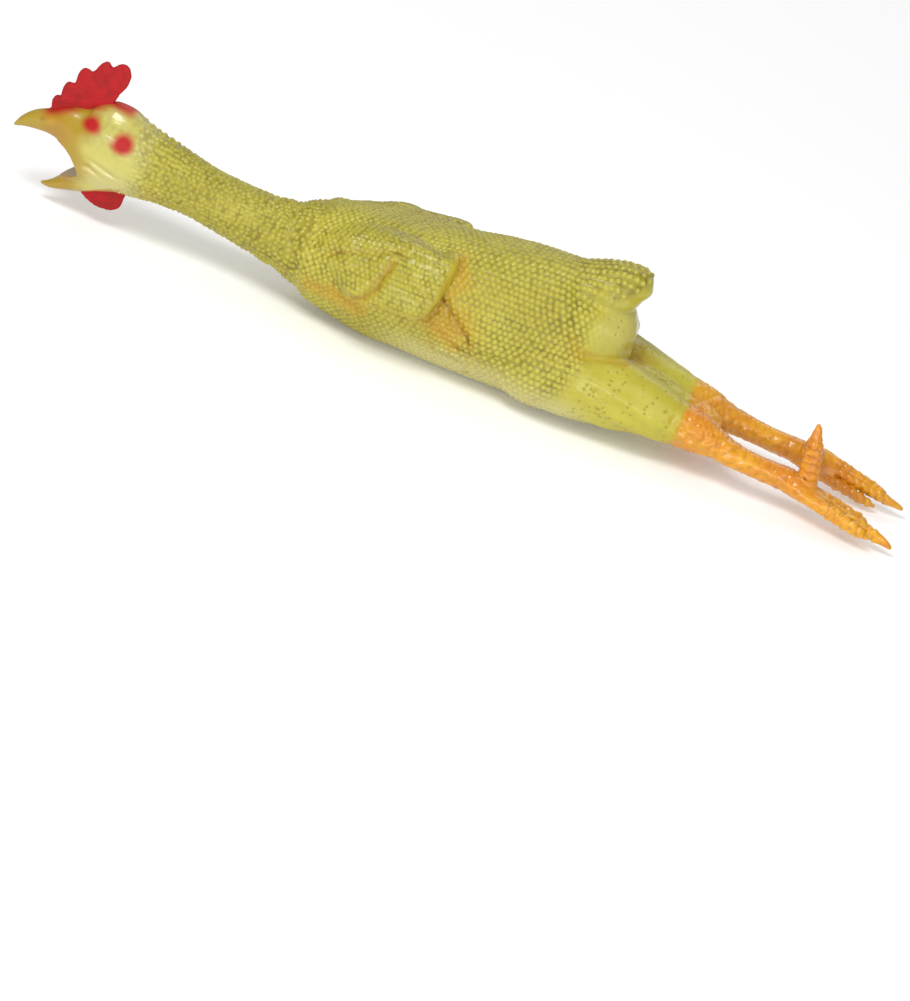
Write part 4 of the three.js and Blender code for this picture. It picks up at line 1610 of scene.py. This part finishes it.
@dataclass
class Wings:
    """Two wings folded against the flanks, as thick pads whose front and upper borders run out in the skin.

    Places on a wing are a station along the body and degrees round it, from the flank upwards.
    """

    skin: BVHTree
    axis_z: float = 37.5
    pitch: float = 0.85
    radius: float = 38.0
    stations: tuple[float, float] = (172, 276)
    degrees: tuple[float, float] = (-22, 96)
    brim: float = 1.6
    sunk: float = 2.6
    outline: Rows = (
        (177, 34), (181, 8), (197, -10), (214, -14), (228, -9), (244, -4), (257, -3), (263, 4), (266, 18),
        (269, 36), (269, 54), (263, 66), (250, 76), (232, 82), (214, 81), (198, 76), (184, 58))
    arm: Rows = ((179, 4), (189.5, 13), (208, 28), (229, 38), (240, 41))
    elbow: Rows = ((234, 30), (232, 20), (230, 10), (226, -2), (219, -9))
    fingers: tuple[Rows, ...] = (((240, 24), (252, 20), (264, 17)), ((240, 46), (252, 43), (266, 40)))

    def build(self, finish: bpy.types.Material) -> bpy.types.Mesh:
        """Makes both wings as one mesh, the left one's faces first.

        Args:
            finish: The material that the follicles' tree sets.

        Returns:
            The mesh, with its masks.
        """
        (left, left_masks), (right, right_masks) = self._pad(Side.LEFT), self._pad(Side.RIGHT)
        clay = Clay((left + right).mesh("wings"))
        for name in (*MASKS, "pluck_body"):
            if name in left_masks:
                clay.store(name, np.concatenate([left_masks[name], right_masks[name]]))
            else:
                clay.store(name, np.zeros(len(clay.points)))
        start, end = self.stations
        rows = Follicles("wings", start=start, end=end, axis_z=self.axis_z, around=96, step=3.1,
                         radius=1.55, height=0.95, mask="pluck_body", sway=0.4, seed=12)
        return rows.apply(clay.mesh, finish)

    def _flat(self, line: Sequence[Sequence[float]]) -> Array:
        """A line of stations and degrees round the body, in millimetres on the flank."""
        scale = math.radians(1) * self.radius
        return np.array(line, float) * (1, scale)

    def _pad(self, side: Side) -> tuple[Shell, dict[str, Array]]:
        """One wing as a closed pad, and its masks.

        Args:
            side: Which wing.

        Returns:
            The shell, and its masks by name.
        """
        x = np.arange(*self.stations, self.pitch)
        turn = np.arange(*self.degrees, math.degrees(self.pitch / self.radius))
        grid_x, grid_turn = np.meshgrid(x, turn, indexing="ij")
        spots = np.column_stack([grid_x.ravel(), grid_turn.ravel()])
        flat = self._flat(spots)
        steps = 5
        rim = spline(self._flat(self.outline + self.outline[:3]), steps)[steps:-steps]
        distance = to_line(flat, rim)
        inside = np.where(self._within(flat, rim), distance, -distance)
        height, masks = self._relief(spots, flat, inside)
        keep = inside > -self.brim
        outer, inner = self._on_skin(spots, height, side, keep)
        rows, columns = grid_x.shape
        index = np.arange(rows * columns).reshape(rows, columns)
        quads = np.stack([index[:-1, :-1], index[1:, :-1], index[1:, 1:], index[:-1, 1:]], -1)
        quads = quads.reshape(-1, CORNERS)
        quads = quads[keep[quads].all(1)]
        if side is Side.LEFT:
            quads = quads[:, ::-1]
        used, faces = np.unique(quads, return_inverse=True)
        shell = thickened(outer[used], inner[used], faces.reshape(-1, CORNERS))
        return shell, {name: np.tile(values[used], 2) for name, values in masks.items()}

    @staticmethod
    def _within(points: Array, rim: Array) -> Array:
        """Which points are inside a closed outline.

        Args:
            points: Points in the outline's plane.
            rim: The outline's corners.

        Returns:
            Yes or no for each point.
        """
        inside = np.zeros(len(points), bool)
        for (ax, ay), (bx, by) in zip(rim, np.roll(rim, -1, 0)):
            crosses = (ay > points[:, 1]) != (by > points[:, 1])
            where = ax + (points[:, 1] - ay) / (by - ay + 1e-12) * (bx - ax)
            inside ^= crosses & (points[:, 0] < where)
        return inside

    def _relief(self, spots: Array, flat: Array, inside: Array) -> tuple[Array, dict[str, Array]]:
        """How high the wing stands over the skin, and its masks.

        Args:
            spots: Stations and degrees round the body.
            flat: The same places in millimetres on the flank.
            inside: How far each is inside the wing's rim.

        Returns:
            The heights, and the masks by name.
        """
        x, turn = spots.T
        soft = np.clip(smooth(36, 60, turn) * (1 - smooth(256, 268, x)) + 1 - smooth(194, 228, x), 0, 1)
        tall = 2.6 + 5.4 * smooth(190, 236, x)
        tall = tall * (1 - 0.5 * smooth(34, 80, turn)) * (1 + 0.08 * np.sin(x * 0.21 + turn * 0.09))
        edge = np.clip(inside / (4.4 + 19 * soft), 0, 1)
        steep = np.sqrt(np.clip(1 - (1 - edge) ** 2, 0, 1))
        height = -1.0 + (tall + 1.0) * (steep + (edge * edge * (3 - 2 * edge) - steep) * soft)
        arm, elbow = to_line(flat, self._flat(self.arm)), to_line(flat, self._flat(self.elbow))
        noise = ripple(np.column_stack([flat, flat[:, 0]]), 9, 41)
        solid = smooth(0, 5, inside)
        height -= solid * (1.1 * bell(arm, 2.0) + 1.9 * bell(elbow, 2.2))
        height += solid * (0.6 * bell(arm - 5, 3) + 0.7 * bell(elbow - 5, 3))
        for finger in self.fingers:
            height -= solid * 0.6 * bell(to_line(flat, self._flat(finger)), 1.6)
        # Orange along the arm and elbow creases and the pad's hard rim: partly a stain, partly painted shade
        # at the wing's edge.
        stain_and_shade = 0.4 * bell(elbow, 2.4) + 0.2 * bell(arm, 1.6) + 0.5 * bell(inside, 2.6) * (1 - soft)
        # Painted shade: dark brown in the arm and elbow creases.
        dark = 0.6 * bell(arm, 1.1) * (noise > 0.1) + 0.35 * bell(elbow, 1.0)
        pluck = np.maximum(smooth(1.0, 4, inside), soft)
        return height, {
            "stain_and_shade": np.clip(stain_and_shade, 0, 1), "dark": np.clip(dark, 0, 1), "pluck": pluck,
            "pluck_body": pluck * (0.85 + 0.15 * noise) * (1 - 0.35 * smooth(50, 80, turn)),
        }

    def _on_skin(self, spots: Array, height: Array, side: Side, keep: Array) -> tuple[Array, Array]:
        """The pad's outer and inner points, cast on to the smooth skin.

        Args:
            spots: Stations and degrees round the body.
            height: How high the wing stands there.
            side: Which wing.
            keep: Which spots belong to it.

        Returns:
            The outer and the inner points.
        """
        outer = np.zeros((len(spots), 3))
        inner = np.zeros((len(spots), 3))
        for i in np.flatnonzero(keep):
            x, turn = spots[i, 0], math.radians(spots[i, 1])
            out = Vector((0, side.value * math.cos(turn), math.sin(turn)))
            axis = Vector((x, 0, self.axis_z))
            hit, normal, _, _ = self.skin.ray_cast(axis + out * FAR_OUT, -out, FAR_OUT)
            lean = (out + normal).normalized()
            outer[i] = hit + lean * height[i]
            inner[i] = hit - lean * self.sunk
        return outer, inner


def thickened(outer: Array, inner: Array, faces: Array) -> Shell:
    """A closed shell between two sheets that share their faces.

    Args:
        outer: The outer sheet's points.
        inner: The inner sheet's points, in the same order.
        faces: The outer sheet's faces, seen from outside.

    Returns:
        The shell with its rim closed.
    """
    count = len(outer)
    edges: dict[tuple[int, int], int] = {}
    for face in faces.tolist():
        for a, b in zip(face, face[1:] + face[:1]):
            edges[(a, b)] = edges.get((a, b), 0) + 1
    rim = [(a, b) for a, b in edges if (b, a) not in edges]
    walls = [(b, a, a + count, b + count) for a, b in rim]
    back = (faces[:, ::-1] + count).tolist()
    return Shell(np.vstack([outer, inner]), [tuple(face) for face in faces.tolist() + back] + walls)


# ---------------------------------------------------------------------------------------------
# The whole chicken
# ---------------------------------------------------------------------------------------------

@dataclass
class Chicken:
    """The chicken: its moulding divided where it bends, and all that hangs on it."""

    layout: Layout
    finishes: dict[Slot, bpy.types.Material]
    moulding: Moulding = field(default_factory=Moulding)
    hip: Place = (365.9, 0, 28)
    hip_way: Place = (0.848, 0, -0.53)
    hip_reach: float = 18
    mouth_corner: Place = (46.2, 0, 26.4)
    jaw_way: Place = (-0.6, 0, -0.8)
    jaw_end: float = 60
    trunk_cuts: tuple[float, ...] = (42, 82, 105.5, 127, 148, 169.2, 200, 271)
    waist_end: float = 316
    tail_cut: float = 11
    hock_start: float = 445.5
    leg_cuts: tuple[float, ...] = (472, 500, 508, 1000)
    back_toe_cut: float = 11
    back_toe_reach: float = 7.8

    def build(self) -> None:
        """Makes and dresses every piece."""
        skin = self.moulding.build(self.finishes[Slot.LATEX])
        cutter = Cutter(skin, self.finishes)
        labels = self._labels(cutter.middles)
        for number, piece in enumerate(self._trunk_pieces() + self._leg_pieces()):
            piece.dress(cutter.piece(labels == number, piece.slot, piece.name), self.layout)
        self._wings()
        self._fins()

    def _trunk_pieces(self) -> list[Piece]:
        """The pieces from the beak to the hip, in the order of their labels.

        Returns:
            The pieces.
        """
        at, way = self.layout.at, Vector(self.hip_way) * self.hip_reach * MM
        corner, hip = at(*self.mouth_corner), at(*self.hip)
        root, tail = at(*self.moulding.tail_root), Vector(self.moulding.tail_way) * MM
        middle = self.moulding.axis_z
        necks = [Piece(f"neck_skin_{n}", (f"neck_{n - 1}", f"neck_fold_{n}", f"neck_{n}"), Slot.LATEX,
                       (f"neck_{n - 1}", f"neck_{n}"), at(start, 0, middle), at(end, 0, middle))
                 for n, start, end in ((4, 126.5, 106.5), (3, 147.5, 127.5), (2, 168, 148.5))]
        return [
            Piece("lower_beak_skin", ("lower_beak",), Slot.BEAK, ("head", "jaw"),
                  corner, corner + Vector(self.jaw_way) * 8 * MM),
            Piece("upper_beak_skin", ("upper_beak",), Slot.BEAK, ("head",)),
            Piece("head_latex", ("head_skin",), Slot.LATEX, ("head",)),
            Piece("throat", ("neck_fold_5", "neck_4", "head_skin"), Slot.LATEX, ("neck_4", "head"),
                  at(105, 0, middle), at(84, 0, middle)),
            *necks,
            Piece("shoulder_skin", ("neck_1", "neck_fold_1", "breast"), Slot.LATEX, ("breast", "neck_1"),
                  at(198, 0, 37), at(170, 0, 37)),
            Piece("breast_skin", ("breast",), Slot.LATEX, ("breast",)),
            Piece("waist_skin", ("breast", "waist_fold", "abdomen"), Slot.LATEX, ("breast", "abdomen"),
                  at(272, 0, middle), at(315, 0, middle)),
            Piece("belly_skin", ("abdomen",), Slot.LATEX, ("abdomen",)),
            Piece("hip_skin", ("abdomen", "hip_fold", "thigh_left", "thigh_right"), Slot.LATEX,
                  ("abdomen", "thighs"), hip - way, hip + way),
            Piece("thigh_skin", ("thigh_left", "thigh_right"), Slot.LATEX, ("thighs",)),
            Piece("tail_skin", ("tail", "tail_fold"), Slot.LATEX, ("abdomen", "tail"),
                  root + tail * self.tail_cut, root + tail * 22),
        ]

    def _leg_pieces(self) -> list[Piece]:
        """The pieces of the left and the right leg, in the order of their labels.

        Returns:
            The pieces.
        """
        at, pieces = self.layout.at, []
        for foot in self.moulding.feet:
            word = foot.side.word
            shank, palm = "shank_" + word, "foot_" + word
            toes = tuple(f"toe_{which}_{word}" for which in ("inner", "middle", "outer"))
            ends = (at(*(foot.back_spot(0) + foot.back_way * rise)) for rise in (self.back_toe_cut, 18))
            pieces += [
                Piece("hock_skin_" + word, ("hock_fold_" + word, "thigh_" + word, shank), Slot.LEG,
                      ("thighs", shank), at(446.5, 0, 20), at(467, 0, 20)),
                Piece("shank_skin_" + word, (shank, "ankle_fold_" + word, palm), Slot.LEG,
                      (shank, palm), at(480, 0, 20), at(496, 0, 20)),
                Piece("foot_skin_" + word, (palm,), Slot.LEG, (palm,)),
                Piece("front_toes_" + word, toes, Slot.LEG, (palm, "toes_" + word),
                      at(508, 0, 20), at(520, 0, 20)),
                Piece("back_toe_skin_" + word, ("toe_back_" + word,), Slot.LEG, (palm, "back_toe_" + word),
                      *ends),
            ]
        return pieces

    def _labels(self, middles: Array) -> Array:
        """Which piece each face belongs to, as its number in the lists of pieces.

        Args:
            middles: The middle of each face of the moulding.

        Returns:
            One number for each face.
        """
        x, y, z = middles.T
        hip = (middles - np.array(self.hip)) @ np.array(self.hip_way)
        corner = middles - np.array(self.mouth_corner)
        lip = self.mouth_corner[2]
        lid = np.where(corner[:, 0] < 0, lip - 0.5 * corner[:, 0], lip)
        jaw = (corner @ np.array(self.jaw_way) > 0) & (z < lid) & (x < self.jaw_end)
        root = middles - np.array(self.moulding.tail_root)
        along = root @ np.array(self.moulding.tail_way)
        tail = (along > self.tail_cut) & (z > 60)
        tail &= self.moulding.off_trunk(middles) > self.moulding.tail_seam
        before, leg = hip < -self.hip_reach, 14
        labels = np.select(
            [jaw, *(x < cut for cut in self.trunk_cuts), tail,
             (x < self.waist_end) & before, before, hip < self.hip_reach, x < self.hock_start],
            [0, 1, 2, 3, 4, 5, 6, 7, 8, 13, 9, 10, 11, 12], -1)
        cuts = len(self.leg_cuts)
        for number, foot in enumerate(self.moulding.feet):
            rise, aside = foot.up_back_toe(middles)
            toe = (labels < 0) & (rise > self.back_toe_cut) & (aside < self.back_toe_reach)
            labels = np.where(toe, leg + (cuts + 1) * number + cuts, labels)
        for number, foot in enumerate(self.moulding.feet):
            mine = y * foot.side.value > 0
            for step, end in enumerate(self.leg_cuts):
                labels = np.where(mine & (labels < 0) & (x < end), leg + (cuts + 1) * number + step, labels)
        return labels

    def _wings(self) -> None:
        """Makes the wings."""
        wings = Wings(self.moulding.smooth_skin)
        cutter = Cutter(wings.build(self.finishes[Slot.LATEX]), self.finishes)
        middles = cutter.middles
        for side in Side:
            name = "wing_" + side.word
            piece = Piece(name + "_pad", (name,), Slot.LATEX, ("breast", name),
                          *(self.layout.at(x, 0, self.moulding.axis_z) for x in (184, 212)))
            piece.dress(cutter.piece(middles[:, 1] * side.value > 0, Slot.LATEX, name), self.layout)

    def _fins(self) -> None:
        """Makes the comb and the wattles."""
        at, red = self.layout.at, self.finishes[Slot.RED]
        comb = Fin("comb_fin", comb_outline())
        Piece("comb_fin", ("comb",), Slot.RED, ("head", "comb"), at(33.5, 0, 64), at(30.5, 0, 70)).dress(
            comb.build(red), self.layout)
        for side in Side:
            name = "wattle_" + side.word
            flap = Fin(name + "_flap", wattle_outline(), y=side.value * 5, thickness=4.0,
                       base_z=24, tip_z=10, thin=0.8)
            Piece(name + "_flap", (name,), Slot.RED, ("head", name), at(62, 0, 24), at(62, 0, 18)).dress(
                flap.build(red), self.layout)


@dataclass(frozen=True)
class Lamp:
    """A soft box: its place, its width and height in metres, and its power in watts."""

    name: str
    place: Place
    wide: float
    tall: float
    power: float


@dataclass
class Studio:
    """A pale floor, soft lights and the camera. Lengths are in metres, but for the lens in millimetres."""

    aim: Place = (0.0368, -0.0312, -0.0669)
    elevation: float = 25
    roll: float = 21.7
    distance: float = 6.0
    lens: float = 373.7
    sensor: float = 36
    floor_half: float = 6.0
    floor_z: float = -0.0006
    floor_grey: float = 0.93
    floor_glow: float = 0.1
    surround: float = 0.48
    lamps: tuple[Lamp, ...] = (
        Lamp("key", (-0.5, -0.7, 1.3), 0.6, 0.6, 13),
        Lamp("fill", (0.9, -1.2, 0.9), 0.9, 0.9, 4.5),
        Lamp("strip", (0.0, -1.3, 0.2), 1.6, 0.1, 7),
        Lamp("back", (0.2, 1.2, 1.2), 1.2, 1.0, 5),
    )
    lit: Place = (0, 0, 0.04)

    def build(self) -> None:
        """Sets up the studio."""
        self._camera()
        self._floor()
        self._world()
        for lamp in self.lamps:
            self._light(lamp)

    def _camera(self) -> None:
        """The camera, which looks down on the chicken's left side and is rolled."""
        rise, roll = math.radians(self.elevation), math.radians(self.roll)
        back = Vector((0, -math.cos(rise), math.sin(rise)))
        right = Vector((math.cos(roll), math.sin(roll) * math.sin(rise), math.sin(roll) * math.cos(rise)))
        up = back.cross(right)
        data = bpy.data.cameras.new("camera")
        data.lens, data.sensor_width, data.sensor_fit = self.lens, self.sensor, "AUTO"
        camera = bpy.data.objects.new("camera", data)
        bpy.context.scene.collection.objects.link(camera)
        camera.matrix_world = Matrix.Translation(Vector(self.aim) + back * self.distance) @ Matrix(
            (right, up, back)).transposed().to_4x4()
        data.clip_end = 20
        bpy.context.scene.camera = camera

    def _floor(self) -> None:
        """A plain pale floor."""
        mesh = bpy.data.meshes.new("floor")
        size, low = self.floor_half, self.floor_z
        mesh.from_pydata([(-size, -size, low), (size, -size, low), (size, size, low), (-size, size, low)],
                         [], [(0, 1, 2, 3)])
        material = bpy.data.materials.new("pale_floor")
        material.use_nodes = True
        shader = material.node_tree.nodes["Principled BSDF"]
        grey = self.floor_grey
        for name, value in (("Base Color", (grey, grey, grey, 1)), ("Roughness", 0.9),
                            ("Emission Color", (1, 1, 1, 1)), ("Emission Strength", self.floor_glow)):
            shader.inputs[name].default_value = value
        mesh.materials.append(material)
        add_object(mesh, "floor")

    def _world(self) -> None:
        """An even white surround."""
        world = bpy.data.worlds.new("surround")
        world.use_nodes = True
        background = world.node_tree.nodes["Background"]
        background.inputs["Color"].default_value = (1, 1, 1, 1)
        background.inputs["Strength"].default_value = self.surround
        bpy.context.scene.world = world
        bpy.context.scene.view_settings.view_transform = "Standard"

    def _light(self, lamp: Lamp) -> None:
        """Adds a soft box that looks at the middle of the chicken.

        Args:
            lamp: The soft box.
        """
        data = bpy.data.lights.new(lamp.name, "AREA")
        data.shape, data.size, data.size_y, data.energy = "RECTANGLE", lamp.wide, lamp.tall, lamp.power
        light = bpy.data.objects.new(lamp.name, data)
        light.location = lamp.place
        light.rotation_euler = (Vector(self.lit) - Vector(lamp.place)).to_track_quat("-Z", "Y").to_euler()
        bpy.context.scene.collection.objects.link(light)


def main() -> None:
    """Builds the chicken and its studio."""
    logging.basicConfig(level=logging.INFO, format="%(name)s %(message)s")
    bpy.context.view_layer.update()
    Studio().build()
    finishes = {
        Slot.LATEX: LatexFinish("latex").material(),
        Slot.BEAK: LatexFinish("mustard_paint").material(),
        Slot.RED: LatexFinish("red_paint", roughness=0.5, coat=0.3).material(),
        Slot.LEG: LatexFinish("orange_paint", roughness=0.34).material(),
    }
    Chicken(Layout.read(), finishes).build()


if __name__ == "__main__":
    main()
